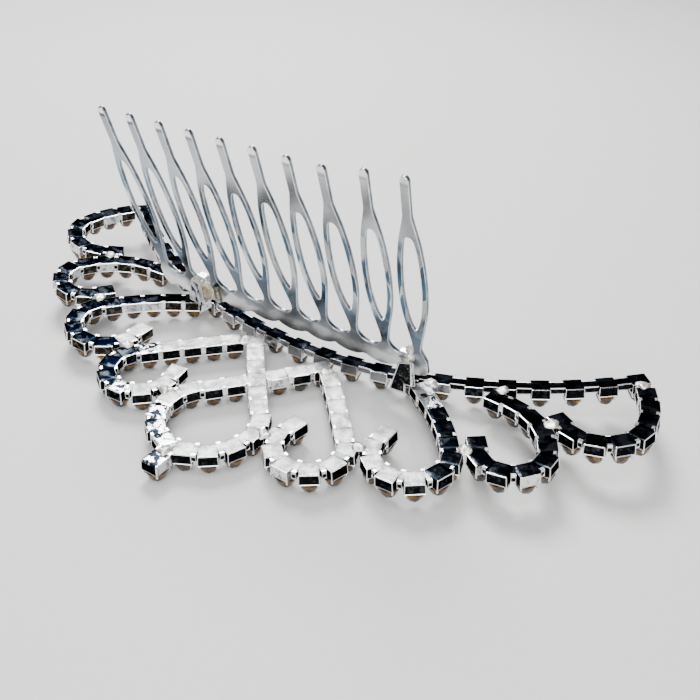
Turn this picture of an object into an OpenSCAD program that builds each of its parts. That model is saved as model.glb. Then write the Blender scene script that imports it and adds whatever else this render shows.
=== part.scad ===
/* [Cup chain] */
// Spacing of the cups along a loop
loop_pitch = 3.5; // [3.5:0.05:3.6]
// Width of a cup at its back plate
cup_w = 2.8; // [2.6:0.1:2.8]
// How far each wall leans out by its rim
cup_flare = 0.15; // [0:0.05:0.15]
// Depth of a cup from its back plate to its rim
cup_depth = 1.5; // [1.2:0.1:1.8]
// Thickness of the cup metal
cup_wall = 0.3; // [0.25:0.05:0.35]
// Width of the channel that joins two cups of a loop
link_w = 2.1; // [1.4:0.1:2.1]
// Width of the channel that joins two cups of the base chain
base_link_w = 1.6; // [1.4:0.1:2.1]
// Depth of the channel that joins two cups
link_depth = 1.1; // [0.8:0.1:1.2]
// Side of a square claw
claw_w = 0.4; // [0.3:0.05:0.4]

/* [Stones] */
// Width of a stone over its girdle
stone_d = 2.95; // [2.8:0.05:3]
// Width of a stone's table
table_d = 1.7; // [1.2:0.1:2]
// Height of the crown of a stone, from table to girdle
crown_h = 1.3; // [1:0.1:1.4]
// Thickness of the girdle
girdle_t = 0.25; // [0.15:0.05:0.3]
// Height of the pavilion, from girdle to culet
pavilion_h = 1.35; // [1.2:0.05:1.45]
// Distance from a stone's table to the back of its cup
setting_h = 3.5; // [3.4:0.1:3.8]

/* [Crown] */
// Radius of the slight bow of the whole crown, which fits a head
bow_radius = 375; // [300:5:450]
// Radius of the curved base chain
base_radius = 83.5; // [82:0.5:85]
// Spacing of the cups along the base chain
base_pitch = 5.05; // [4.9:0.05:5.2]
// Cups of the base chain on each side of its middle cup
base_side_cups = 11; // [10:1:11]
// Height of the base chain's middle over the crown's origin line
base_rise = 1.4; // [1:0.1:1.6]
// Height of the single cup at the crown's tip
tip_rise = 36; // [36:0.1:37]

/* [Comb] */
// Teeth of the comb
teeth = 10; // [6:1:12]
// Spacing of the teeth
tooth_pitch = 5.6; // [5.4:0.1:6]
// Length of the comb from the edge of its bar to the tips
comb_h = 38; // [37:1:42]
// Lowest point of the bar's scalloped edge
bar_low = 0.7; // [0.5:0.1:1]
// Height of the bar's upper edge in the valleys between teeth
bar_h = 4.7; // [4:0.1:5]
// Reach of the bar past the middle of the last tooth
bar_end = 1.5; // [1.2:0.1:2]
// Radius of a scallop of the bar's lower edge
scallop_r = 4.5; // [4:0.5:8]
// Thickness of the comb's sheet metal
comb_t = 0.8; // [0.6:0.1:1]
// Width of the oval ring in each tooth
ring_w = 4.6; // [4.4:0.1:5]
// Width of the opening in each ring
ring_gap = 3.1; // [2.6:0.1:3.2]
// Width of a tooth where it leaves the bar
stem_w = 1.2; // [1:0.1:1.8]
// Width of the finger at the end of a tooth
finger_w = 1.6; // [1.2:0.1:1.6]
// Lean of the comb towards the loops
comb_lean = 18; // [10:1:25]
// Slope of the comb's bar, as it is soldered
comb_slope = 0.9; // [0:0.1:3]
// Sideways place of the comb's middle
comb_shift = -3.1; // [-4:0.1:3]
// Height of the comb's origin line above the surface that the stones lie on
comb_rise = 4.45; // [4.4:0.05:5]

/* [Clips] */
// Thickness of the clip metal
clip_t = 0.45; // [0.4:0.05:0.6]
// Distance from the comb's origin line to the front of a clip
clip_front = 2.5; // [2.5:0.1:3]
// Reach of a clip's foot behind the comb's origin line
clip_back = 2.2; // [1.6:0.1:2.4]
// Width of the strap that goes down behind the comb
clip_w = 1.6; // [1.2:0.1:2]
// Height of the top of a clip
clip_top = 9.75; // [9.6:0.05:10]
// Width of the lump of solder on the right clip
lump_d = 1.7; // [1.4:0.1:1.7]

/* [Solder] */
// Width of a drop of solder
solder_d = 2.8; // [2:0.1:3.2]
// Height of a drop of solder
solder_h = 0.6; // [0.4:0.1:0.8]

/* [Hidden] */
$fn = 48;
eps = 0.01;

// Colours of the metal, the solder and the stones
PLATING = "silver";
STEEL = "gainsboro";
SOLDER = "whitesmoke";
GLASS = "khaki";

// Each loop starts beside the base chain and ends in a tail beside the loop before it. Its row holds
// the place of the first cup, across and up the crown, the heading there in degrees, the links of the
// leg and the bend at each, and the links of the rounded head and the bend at each.
START_X = 0;
START_UP = 1;
HEADING = 2;
LEG_LINKS = 3;
LEG_BEND = 4;
HEAD_LINKS = 5;
HEAD_BEND = 6;
CENTRE = [-6.6, 5.0, 51.6, 5, -0.55, 4, 26.2];
LOOPS = [
    [9.7, 6.8, 46.9, 4, 1.0, 6, 38.3],
    [23.15, 1.45, 38.3, 4, 4.8, 6, 35.6],
    [34.2, -2.1, 10.1, 4, 15.8, 4, 40.9],
    [53.75, -13.2, 66.3, 2, 11.8, 4, 32.1],
];

// Bend before step i of a loop, and the heading of that step
function bend(row, i) = i == 0 ? 0 : i <= row[LEG_LINKS] ? row[LEG_BEND] : row[HEAD_BEND];
function step_heading(row, i) = row[HEADING] + min(i, row[LEG_LINKS]) * row[LEG_BEND]
    + max(0, i - row[LEG_LINKS]) * row[HEAD_BEND];
function steps(row) = 1 + row[LEG_LINKS] + row[HEAD_LINKS];

// Place of cup i: the start and all steps before it
function place(row, i) = i == 0 ? [row[START_X], row[START_UP]]
    : place(row, i - 1) + loop_pitch * [cos(step_heading(row, i - 1)), sin(step_heading(row, i - 1))];

// A cup faces halfway between the step before it and the step after it
function cup_heading(row, i) = i == 0 ? row[HEADING]
    : i == steps(row) ? step_heading(row, i - 1)
    : (step_heading(row, i - 1) + step_heading(row, i)) / 2;

// A spot is [across, up, heading]
function run(row) = [for (i = [0 : steps(row)]) [each place(row, i), cup_heading(row, i)]];
function mirrored(spots) = [for (s = spots) [-s[0], s[1], 180 - s[2]]];
function between(a, b) = [(a[0] + b[0]) / 2, (a[1] + b[1]) / 2, atan2(b[1] - a[1], b[0] - a[0])];
function joins(spots) = [for (i = [1 : len(spots) - 1]) between(spots[i - 1], spots[i])];

function base_spot(k) = let (t = k * base_pitch / base_radius * 180 / PI)
    [base_radius * sin(t), base_rise - base_radius * (1 - cos(t)), -t];
base_spots = [for (k = [-base_side_cups : base_side_cups]) base_spot(k)];

// The origin lies under the middle of the outline, between the tip and the ends of the base chain
rim_half = cup_w / 2 + cup_flare;
end_spot = base_spot(base_side_cups);
middle_up = (tip_rise + rim_half + end_spot[1]
    - rim_half * (cos(end_spot[2]) + sin(-end_spot[2]))) / 2;

// The two halves of the centre loop share the cup where they cross
centre_run = run(CENTRE);
crossing = 3;
centre_spots = concat(centre_run,
    [for (i = [0 : len(centre_run) - 1]) if (i != crossing) mirrored(centre_run)[i]],
    [[0, tip_rise, 90]]);
centre_joins = concat(joins(centre_run), joins(mirrored(centre_run)),
    [between(centre_run[len(centre_run) - 1], mirrored(centre_run)[len(centre_run) - 1]),
     [0, tip_rise - cup_w / 2 - 0.4, 90]]);

// Outline of a tooth: height over the comb's origin line, and share of half the ring's width
TOOTH = [[4, 0.26], [7, 0.26], [8, 0.31], [9.6, 0.45], [12.5, 0.72], [15.4, 0.93], [18, 0.99],
    [20.5, 1], [23, 0.95], [26, 0.81], [28, 0.67], [32.3, 0.23]];
// Outline of the opening in it: height, and share of half the opening's width
OPENING = [[11, 0.05], [11.6, 0.3], [13.5, 0.65], [16, 0.9], [18.7, 1], [21.5, 0.97], [24, 0.87],
    [26, 0.73], [27.4, 0.58], [28.2, 0.36], [28.4, 0.12]];
// Teeth that are bent back a little, counted from the left, with the bend in degrees
BENT = [[8, 2.5], [9, 3.7]];
bend_h = 7;
SCALLOP_LEAD = 1.6;
valley_h = bar_h + (tooth_pitch - stem_w) / 2;

// Gap between a clip and the comb
clip_gap = 0.1;
// Where each clip stands, and its face, across from there and up from the surface
CLIP_X = [19.4, -20];
RIGHT_FACE = [[-1.5, 2.1], [1.3, 2.1], [1.3, 3.75], [2.5, 3.75], [1.5, clip_top], [0.2, clip_top]];
LEFT_FACE = [[-3.1, 3.85], [-1.05, 3.85], [-1.05, 2.4], [-0.5, 2.1], [-0.6, 8.6], [0.4, clip_top],
    [-1.2, clip_top], [-2.7, 8.4]];
// Leaf that is folded back from the edge of the left clip's face, along the leaf and up
LEFT_LEAF = [[0, 2.1], [1.9, 3.75], [1.9, 7.4], [0, 8.6]];
leaf_turn = 28;
// Place of the solder on the right clip, across and up the comb
LUMP = [23.2, 6.4];

// Drops of solder, each between a cup and its neighbour on the next chain
function tail(n, back) = run(LOOPS[n - 1])[steps(LOOPS[n - 1]) - back];
solder_spots = [
    between(mirrored(centre_run)[0], run(LOOPS[0])[0]),
    between(centre_run[7], tail(1, 1)),
    between(run(LOOPS[0])[5], tail(2, 1)),
    between(run(LOOPS[1])[4], tail(3, 1)),
    between(run(LOOPS[2])[3], tail(4, 0)),
    between(base_spot(7), run(LOOPS[2])[0]),
    between(base_spot(base_side_cups), run(LOOPS[3])[0]),
];
// Drops that only one half has: beside the right clip, and on the joint at the tip
lone_spots = [between(base_spot(5), run(LOOPS[1])[0]), [0, tip_rise - 1.8, 0]];

// Lays a piece on the bowed surface of the crown, face down
module on_bow(spot) {
    a = spot[0] / bow_radius * 180 / PI;
    translate([bow_radius * sin(a), middle_up - spot[1], bow_radius * (1 - cos(a))])
        rotate([0, -a, 0])
            rotate([0, 0, -spot[2]])
                children();
}

// Prism along Y with the profile of a cup: back at the top, rim below
module cup_side(w, flare, depth) {
    rotate([90, 0, 0])
        linear_extrude(2 * w, center = true)
            polygon([[-w / 2, 0], [w / 2, 0], [w / 2 + flare, -depth], [-w / 2 - flare, -depth]]);
}

module cup_block(w, flare, depth) {
    intersection() {
        cup_side(w, flare, depth);
        rotate([0, 0, 90]) cup_side(w, flare, depth);
    }
}

// Square flared cup with four claws that reach past the stone's girdle
module cup() {
    inner_w = cup_w - 2 * cup_wall;
    claw_in = stone_d / 2 + 0.1;
    claw_low = setting_h - crown_h + girdle_t;
    translate([0, 0, setting_h])
        difference() {
            cup_block(cup_w, cup_flare, cup_depth);
            translate([0, 0, -cup_wall])
                cup_block(inner_w, cup_flare + eps, cup_depth);
        }
    for (a = [45 : 90 : 315])
        rotate([0, 0, a])
            translate([claw_in, -claw_w / 2, crown_h - girdle_t])
                cube([claw_w, claw_w, setting_h - cup_depth / 2 - crown_h + girdle_t]);
}

// Channel between two cups, a little longer than the gap
module link(pitch, w) {
    long = pitch - cup_w + cup_wall + 0.15;
    translate([-long / 2, -w / 2, setting_h - link_depth])
        cube([long, w, link_depth - 0.1]);
}

// Eight-sided stone: table, crown, girdle, pavilion and culet
module stone() {
    r = stone_d / 2;
    girdle_low = crown_h;
    girdle_high = crown_h + girdle_t;
    culet = girdle_high + pavilion_h;
    intersection_for (a = [0 : 45 : 135])
        rotate([90, 0, a])
            linear_extrude(2 * stone_d, center = true)
                polygon([[-table_d / 2, 0], [table_d / 2, 0], [r, girdle_low], [r, girdle_high],
                    [0.15, culet], [-0.15, culet], [-r, girdle_high], [-r, girdle_low]]);
}

module chain(spots, links, pitch, w) {
    color(PLATING) {
        for (s = spots) on_bow(s) cup();
        for (s = links) on_bow(s) link(pitch, w);
    }
}

module stones(spots) {
    color(GLASS)
        for (s = spots) on_bow(s) stone();
}

module base_chain() {
    chain(base_spots, joins(base_spots), base_pitch, base_link_w);
}

module base_stones() {
    stones(base_spots);
}

module centre_loop() {
    chain(centre_spots, centre_joins, loop_pitch, link_w);
}

module centre_stones() {
    stones(centre_spots);
}

module loop(n) {
    chain(run(LOOPS[n - 1]), joins(run(LOOPS[n - 1])), loop_pitch, link_w);
}

module loop_stones(n) {
    stones(run(LOOPS[n - 1]));
}

// Cuts each corner of an outline to make it rounder
function rounded(p) = concat([p[0]],
    [for (i = [0 : len(p) - 2]) each [0.75 * p[i] + 0.25 * p[i + 1], 0.25 * p[i] + 0.75 * p[i + 1]]],
    [p[len(p) - 1]]);

// Both sides of an outline that is given as heights and shares of half a width
module outline(rows, w) {
    side = rounded(rows);
    n = len(side) - 1;
    polygon(concat([for (i = [0 : n]) [side[i][1] * w / 2, side[i][0]]],
        [for (i = [n : -1 : 0]) [-side[i][1] * w / 2, side[i][0]]]));
}

// One tooth: stem, oval ring, shoulder and round-ended finger
module tooth() {
    difference() {
        union() {
            translate([-stem_w / 2, bar_h - 2]) square([stem_w, 4.3]);
            outline(TOOTH, ring_w);
            translate([-finger_w / 2, comb_h - 8]) square([finger_w, 8 - finger_w / 2]);
            translate([0, comb_h - finger_w / 2]) circle(d = finger_w);
        }
        outline(OPENING, ring_gap);
    }
}

// Bar with a scalloped lower edge, rounded ends and a rounded valley between each two teeth
module comb_bar() {
    half = (teeth - 1) * tooth_pitch / 2 + bar_end;
    difference() {
        intersection() {
            for (k = [0 : teeth])
                translate([(k - (teeth - 1) / 2) * tooth_pitch - SCALLOP_LEAD, bar_low + scallop_r])
                    circle(scallop_r);
            union() {
                translate([-half + 1, 0]) square([2 * half - 2, valley_h]);
                translate([-half, bar_low + 1.5]) square([2 * half, bar_h - bar_low - 1.5]);
                for (x = [1 - half, half - 1]) translate([x, bar_low + 1.5]) circle(r = 1);
            }
        }
        valleys(0);
    }
}

// Rounded valleys between the teeth, smaller all round by a gap
module valleys(gap) {
    for (k = [0 : teeth])
        translate([(k - teeth / 2) * tooth_pitch, valley_h])
            circle(d = tooth_pitch - stem_w - 2 * gap);
}

// Puts the comb's own plane, across and up, where the comb stands
module comb_place() {
    translate([comb_shift, middle_up, comb_rise])
        rotate([0, -comb_slope, 0])
            rotate([90 + comb_lean, 0, 0])
                children();
}

module sheet() {
    linear_extrude(comb_t, center = true) children();
}

module at_tooth(k) {
    translate([(k - (teeth - 1) / 2) * tooth_pitch, 0]) children();
}

// Comb stamped from sheet, with its last teeth bent back
module comb() {
    straight = [for (k = [0 : teeth - 1]) if (len([for (b = BENT) if (b[0] == k) k]) == 0) k];
    color(STEEL)
        comb_place() {
            sheet() {
                comb_bar();
                for (k = straight) at_tooth(k) tooth();
                for (b = BENT) at_tooth(b[0]) intersection() {
                    tooth();
                    translate([-ring_w, 0]) square([2 * ring_w, bend_h + 0.4]);
                }
            }
            for (b = BENT)
                translate([0, bend_h, 0])
                    rotate([-b[1], 0, 0])
                        translate([0, -bend_h, 0])
                            sheet()
                                at_tooth(b[0])
                                    difference() {
                                        tooth();
                                        translate([-ring_w, -1]) square([2 * ring_w, bend_h + 0.6]);
                                    }
        }
}

// Flat plate of clip metal that stands up, with its face towards the tip of the crown
module plate(rows) {
    rotate([90, 0, 0]) linear_extrude(clip_t) polygon(rows);
}

// Strap that goes over the bar and down behind it to its foot on the base chain
module strap(x) {
    foot_z = setting_h + 0.1;
    translate([x, 0, 0])
        rotate([90, 0, 90])
            linear_extrude(clip_w, center = true)
                polygon([[-clip_front, clip_top - 1], [-clip_front, clip_top], [-0.7, clip_top],
                    [clip_back, foot_z + clip_t], [clip_back, foot_z], [clip_back - 1.2, foot_z],
                    [clip_back - 1.2, foot_z + clip_t + 0.5], [-1.1, clip_top - clip_t],
                    [-clip_front + clip_t, clip_top - 1]]);
}

// Clip with its face before the bar, cut clear of the comb
module clip(i, rows, strap_x) {
    color(PLATING)
        difference() {
            on_bow([CLIP_X[i], 0, 0]) {
                translate([0, clip_t - clip_front, 0]) plate(rows);
                strap(strap_x);
                children();
            }
            comb_place()
                linear_extrude(comb_t + 2 * clip_gap, center = true)
                    difference() {
                        translate([-comb_h, 0]) square([2 * comb_h, valley_h]);
                        valleys(clip_gap);
                    }
        }
}

module clip_right() {
    clip(0, RIGHT_FACE, 0.8);
    color(SOLDER) comb_place() translate([LUMP[0], LUMP[1], 0]) sphere(d = lump_d);
}

module clip_left() {
    edge = LEFT_FACE[3][0];
    clip(1, LEFT_FACE, -0.4)
        translate([edge, -clip_front, 0])
            rotate([0, 0, leaf_turn])
                translate([0, clip_t, 0])
                    plate(LEFT_LEAF);
}

// Flat drop of solder over a joint
module drop(spot) {
    ball = (pow(solder_d / 2, 2) + pow(solder_h, 2)) / (2 * solder_h);
    on_bow(spot)
        intersection() {
            translate([0, 0, setting_h + 0.1 + solder_h - ball]) sphere(ball);
            translate([-solder_d / 2, -solder_d / 2, setting_h + 0.1])
                cube([solder_d, solder_d, solder_h]);
        }
}

module solder() {
    color(SOLDER)
        for (s = concat(solder_spots, mirrored(solder_spots), lone_spots)) drop(s);
}

base_chain();
base_stones();
centre_loop();
centre_stones();
loop(1);  // loop_1_right
mirror([1, 0, 0]) loop(1);  // loop_1_left
loop(2);  // loop_2_right
mirror([1, 0, 0]) loop(2);  // loop_2_left
loop(3);  // loop_3_right
mirror([1, 0, 0]) loop(3);  // loop_3_left
loop(4);  // loop_4_right
mirror([1, 0, 0]) loop(4);  // loop_4_left
loop_stones(1);  // loop_1_right_stones
mirror([1, 0, 0]) loop_stones(1);  // loop_1_left_stones
loop_stones(2);  // loop_2_right_stones
mirror([1, 0, 0]) loop_stones(2);  // loop_2_left_stones
loop_stones(3);  // loop_3_right_stones
mirror([1, 0, 0]) loop_stones(3);  // loop_3_left_stones
loop_stones(4);  // loop_4_right_stones
mirror([1, 0, 0]) loop_stones(4);  // loop_4_left_stones
comb();
clip_right();
clip_left();
solder();
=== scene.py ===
"""Dresses the bridal crown: cup chain, cut stones, comb, clips and solder, in a plain studio."""

import logging
import math
import random
from dataclasses import dataclass, field
from enum import Enum
from functools import cache
from itertools import pairwise

import bpy
from mathutils import Matrix, Vector, noise


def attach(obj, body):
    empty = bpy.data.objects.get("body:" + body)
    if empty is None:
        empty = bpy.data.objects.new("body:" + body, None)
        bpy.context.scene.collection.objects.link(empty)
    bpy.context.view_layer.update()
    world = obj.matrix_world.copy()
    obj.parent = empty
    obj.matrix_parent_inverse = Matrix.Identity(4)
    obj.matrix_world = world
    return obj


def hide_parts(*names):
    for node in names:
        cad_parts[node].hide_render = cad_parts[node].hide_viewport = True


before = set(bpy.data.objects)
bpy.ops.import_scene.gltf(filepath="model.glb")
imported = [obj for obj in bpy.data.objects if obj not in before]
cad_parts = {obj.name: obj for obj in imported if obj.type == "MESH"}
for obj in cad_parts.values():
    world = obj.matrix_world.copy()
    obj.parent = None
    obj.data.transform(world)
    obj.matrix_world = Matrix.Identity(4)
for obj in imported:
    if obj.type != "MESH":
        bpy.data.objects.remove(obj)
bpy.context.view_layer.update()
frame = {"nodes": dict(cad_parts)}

LOG = logging.getLogger("crown")
MM = 0.001
ROOT = "root"

# Nearly all of a noise texture lies between NOISE_LOW and NOISE_LOW + NOISE_SPAN
NOISE_LOW = 0.3
NOISE_SPAN = 0.4
# A diagonal wave texture repeats every 0.628 units of x + y + z
WAVE_REPEAT = 2 * math.pi / 10
# No metal here is smoother than this
LEAST_ROUGH = 0.03

# Sockets of a mix node set to colours: their names also stand for its sockets of other kinds
MIX_SHARE, MIX_FIRST, MIX_SECOND, MIX_RESULT = 0, 6, 7, 2

Point = tuple[float, float, float]
Flat = tuple[float, float]
Sockets = tuple[dict, dict]


# Small tools


def linear(code: str) -> tuple[float, float, float, float]:
    """Turns an sRGB hex colour to linear.

    Args:
        code: six hex digits.

    Returns:
        Linear red, green and blue, and an alpha of 1.
    """
    parts = [int(code[i : i + 2], 16) / 255 for i in (0, 2, 4)]
    red, green, blue = [
        p / 12.92 if p <= 0.04045 else ((p + 0.055) / 1.055) ** 2.4 for p in parts
    ]
    return red, green, blue, 1.0


def per_mm(size: float) -> float:
    """Gives a texture scale whose feature is size millimetres wide."""
    return 1 / (size * MM)


def add_node(
    tree: bpy.types.NodeTree,
    kind: str,
    values: dict | None = None,
    links: dict | None = None,
    **settings: object,
) -> bpy.types.Node:
    """Adds one node with its settings and links.

    Args:
        tree: the node tree it goes in.
        kind: Blender's name of the node type.
        values: input socket to its value.
        links: input socket to the output socket that feeds it.
        **settings: properties of the node itself.

    Returns:
        The new node.
    """
    made = tree.nodes.new(kind)
    for name, value in settings.items():
        setattr(made, name, value)
    for socket, value in (values or {}).items():
        made.inputs[socket].default_value = value
    for socket, source in (links or {}).items():
        tree.links.new(source, made.inputs[socket])
    return made


def add_object(name: str, data: bpy.types.ID) -> bpy.types.Object:
    """Puts a new object with its data into the scene.

    Args:
        name: the object's name.
        data: its mesh, curve, light or camera.

    Returns:
        The object.
    """
    made = bpy.data.objects.new(name, data)
    bpy.context.scene.collection.objects.link(made)
    return made


# Finishes


@dataclass(frozen=True)
class Surface:
    """What all finishes share: a name, and one shader with a look of its own."""

    name: str

    def look(self, tree: bpy.types.NodeTree, coord: bpy.types.NodeSocket) -> Sockets:
        """Adds the nodes of the finish, and gives values and links of the shader's sockets."""
        raise NotImplementedError

    def material(self) -> bpy.types.Material:
        """Builds the node material.

        Returns:
            The material, with its look joined to its shader.
        """
        material = bpy.data.materials.new(self.name)
        material.use_nodes = True
        tree = material.node_tree
        tree.nodes.clear()
        coord = add_node(tree, "ShaderNodeTexCoord").outputs["Object"]
        values, links = self.look(tree, coord)
        shader = add_node(tree, "ShaderNodeBsdfPrincipled", values, links)
        surface = {"Surface": shader.outputs["BSDF"]}
        add_node(tree, "ShaderNodeOutputMaterial", links=surface)
        return material


@dataclass(frozen=True)
class PlatedMetal(Surface):
    """A plated or polished metal: patches of two tones, speckled by a fine grit.

    The tones are partly painted reflection and shade, on the finishes painted dark, and partly how the
    plating has clouded, and the grit is the mark of the stamping tool and the tumbling barrel.
    """

    bright: str
    shade: str
    share: float = 0.4
    patch_mm: float = 2.0
    stretch: Point = (1.0, 1.0, 1.0)
    sharpness: float = 0.12
    rough: float = 0.2
    rough_spread: float = 0.1
    grit_mm: float = 0.12
    bump_mm: float = 0.01
    distortion: float = 0.4
    speckle: float = 0.15
    # What the metal mirrors at a grazing angle: kept dark on the finishes painted dark, so that their
    # painted dark reflection holds there too
    grazing: str = "FFFFFF"

    def look(self, tree: bpy.types.NodeTree, coord: bpy.types.NodeSocket) -> Sockets:
        """Adds the patches, the grit and the bump.

        Args:
            tree: the material's node tree.
            coord: the place on the object.

        Returns:
            Values and links of the shader's sockets.
        """
        stretched = add_node(
            tree, "ShaderNodeMapping", {"Scale": self.stretch}, {"Vector": coord}
        ).outputs["Vector"]
        patches = add_node(
            tree,
            "ShaderNodeTexNoise",
            {
                "Scale": per_mm(self.patch_mm),
                "Detail": 4.0,
                "Roughness": 0.55,
                "Distortion": self.distortion,
            },
            {"Vector": stretched},
        ).outputs["Fac"]
        grit = add_node(
            tree,
            "ShaderNodeTexNoise",
            {"Scale": per_mm(self.grit_mm), "Detail": 3.0, "Roughness": 0.6},
            {"Vector": coord},
        ).outputs["Fac"]
        speckled = add_node(
            tree,
            "ShaderNodeMath",
            {1: self.speckle},
            {0: grit, 2: patches},
            operation="MULTIPLY_ADD",
        ).outputs["Value"]
        # The shade lies where patches and grit together pass this level
        edge = 0.5 + (0.5 - self.share) * NOISE_SPAN + self.speckle / 2
        mask = add_node(
            tree,
            "ShaderNodeMapRange",
            {
                "From Min": edge - self.sharpness / 2,
                "From Max": edge + self.sharpness / 2,
            },
            {"Value": speckled},
            interpolation_type="SMOOTHSTEP",
        ).outputs["Result"]
        colour = add_node(
            tree,
            "ShaderNodeMix",
            {MIX_FIRST: linear(self.bright), MIX_SECOND: linear(self.shade)},
            {MIX_SHARE: mask},
            data_type="RGBA",
        ).outputs[MIX_RESULT]
        rough = add_node(
            tree,
            "ShaderNodeMapRange",
            {
                "From Min": NOISE_LOW,
                "From Max": NOISE_LOW + NOISE_SPAN,
                "To Min": max(LEAST_ROUGH, self.rough - self.rough_spread / 2),
                "To Max": self.rough + self.rough_spread / 2,
            },
            {"Value": grit},
        ).outputs["Result"]
        bump = add_node(
            tree,
            "ShaderNodeBump",
            {"Strength": 1.0, "Distance": self.bump_mm * MM},
            {"Height": grit},
        ).outputs["Normal"]
        values = {"Metallic": 1.0, "Specular Tint": linear(self.grazing)}
        return values, {"Base Color": colour, "Roughness": rough, "Normal": bump}


@dataclass(frozen=True)
class KnurledMetal(Surface):
    """Bright plating rolled with fine slanting lines, as on the sides of the channels, with painted
    shade in its grooves.
    """

    bright: str
    painted_groove_shade: str
    spacing_mm: float = 0.3
    rough: float = 0.25
    depth_mm: float = 0.03

    def look(self, tree: bpy.types.NodeTree, coord: bpy.types.NodeSocket) -> Sockets:
        """Adds the slanting lines.

        Args:
            tree: the material's node tree.
            coord: the place on the object.

        Returns:
            Values and links of the shader's sockets.
        """
        # On an upright side, one repeat of the wave is root two times the lines' spacing
        scale = WAVE_REPEAT / (self.spacing_mm * MM * math.sqrt(2))
        lines = add_node(
            tree,
            "ShaderNodeTexWave",
            {"Scale": scale, "Distortion": 0.6, "Detail": 1.0, "Detail Scale": 2.0},
            {"Vector": coord},
            bands_direction="DIAGONAL",
        ).outputs["Fac"]
        colour = add_node(
            tree,
            "ShaderNodeMix",
            {MIX_FIRST: linear(self.painted_groove_shade), MIX_SECOND: linear(self.bright)},
            {MIX_SHARE: lines},
            data_type="RGBA",
        ).outputs[MIX_RESULT]
        bump = add_node(
            tree,
            "ShaderNodeBump",
            {"Strength": 1.0, "Distance": self.depth_mm * MM},
            {"Height": lines},
        ).outputs["Normal"]
        values = {"Metallic": 1.0, "Roughness": self.rough}
        return values, {"Base Color": colour, "Normal": bump}


@dataclass(frozen=True)
class CutGlass(Surface):
    """Polished machine-cut glass with a painted tint: amber standing in for the gilt foil seen through
    it, and patches of painted dark reflection.
    """

    tint: str
    # The tone of the painted dark reflection in its patches
    deep: str
    dark_patch_mm: float = 1.6
    # Noise levels between which the tint turns to the painted dark
    dark_patch_low: float = 0.4
    dark_patch_high: float = 0.62
    rough: float = 0.02
    clear: float = 0.55
    ior: float = 1.54

    def look(self, tree: bpy.types.NodeTree, coord: bpy.types.NodeSocket) -> Sockets:
        """Adds the patches of painted dark reflection in the tint.

        Args:
            tree: the material's node tree.
            coord: the place on the object.

        Returns:
            Values and links of the shader's sockets.
        """
        dark_patch = add_node(
            tree,
            "ShaderNodeTexNoise",
            {"Scale": per_mm(self.dark_patch_mm), "Detail": 2.0},
            {"Vector": coord},
        ).outputs["Fac"]
        mask = add_node(
            tree,
            "ShaderNodeMapRange",
            {"From Min": self.dark_patch_low, "From Max": self.dark_patch_high},
            {"Value": dark_patch},
        ).outputs["Result"]
        colour = add_node(
            tree,
            "ShaderNodeMix",
            {MIX_FIRST: linear(self.tint), MIX_SECOND: linear(self.deep)},
            {MIX_SHARE: mask},
            data_type="RGBA",
        ).outputs[MIX_RESULT]
        values = {
            "Metallic": 0.0,
            "Roughness": self.rough,
            "IOR": self.ior,
            "Transmission Weight": self.clear,
        }
        return values, {"Base Color": colour}


@dataclass(frozen=True)
class MattPaper(Surface):
    """The studio floor: matt, pale, with a faint fibre."""

    tone: str
    fibre: str
    fibre_mm: float = 1.5
    rough: float = 0.6

    def look(self, tree: bpy.types.NodeTree, coord: bpy.types.NodeSocket) -> Sockets:
        """Adds the fibre.

        Args:
            tree: the material's node tree.
            coord: the place on the object.

        Returns:
            Values and links of the shader's sockets.
        """
        fibres = add_node(
            tree,
            "ShaderNodeTexNoise",
            {"Scale": per_mm(self.fibre_mm), "Detail": 4.0},
            {"Vector": coord},
        ).outputs["Fac"]
        colour = add_node(
            tree,
            "ShaderNodeMix",
            {MIX_FIRST: linear(self.tone), MIX_SECOND: linear(self.fibre)},
            {MIX_SHARE: fibres},
            data_type="RGBA",
        ).outputs[MIX_RESULT]
        return {"Roughness": self.rough}, {"Base Color": colour}


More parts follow.
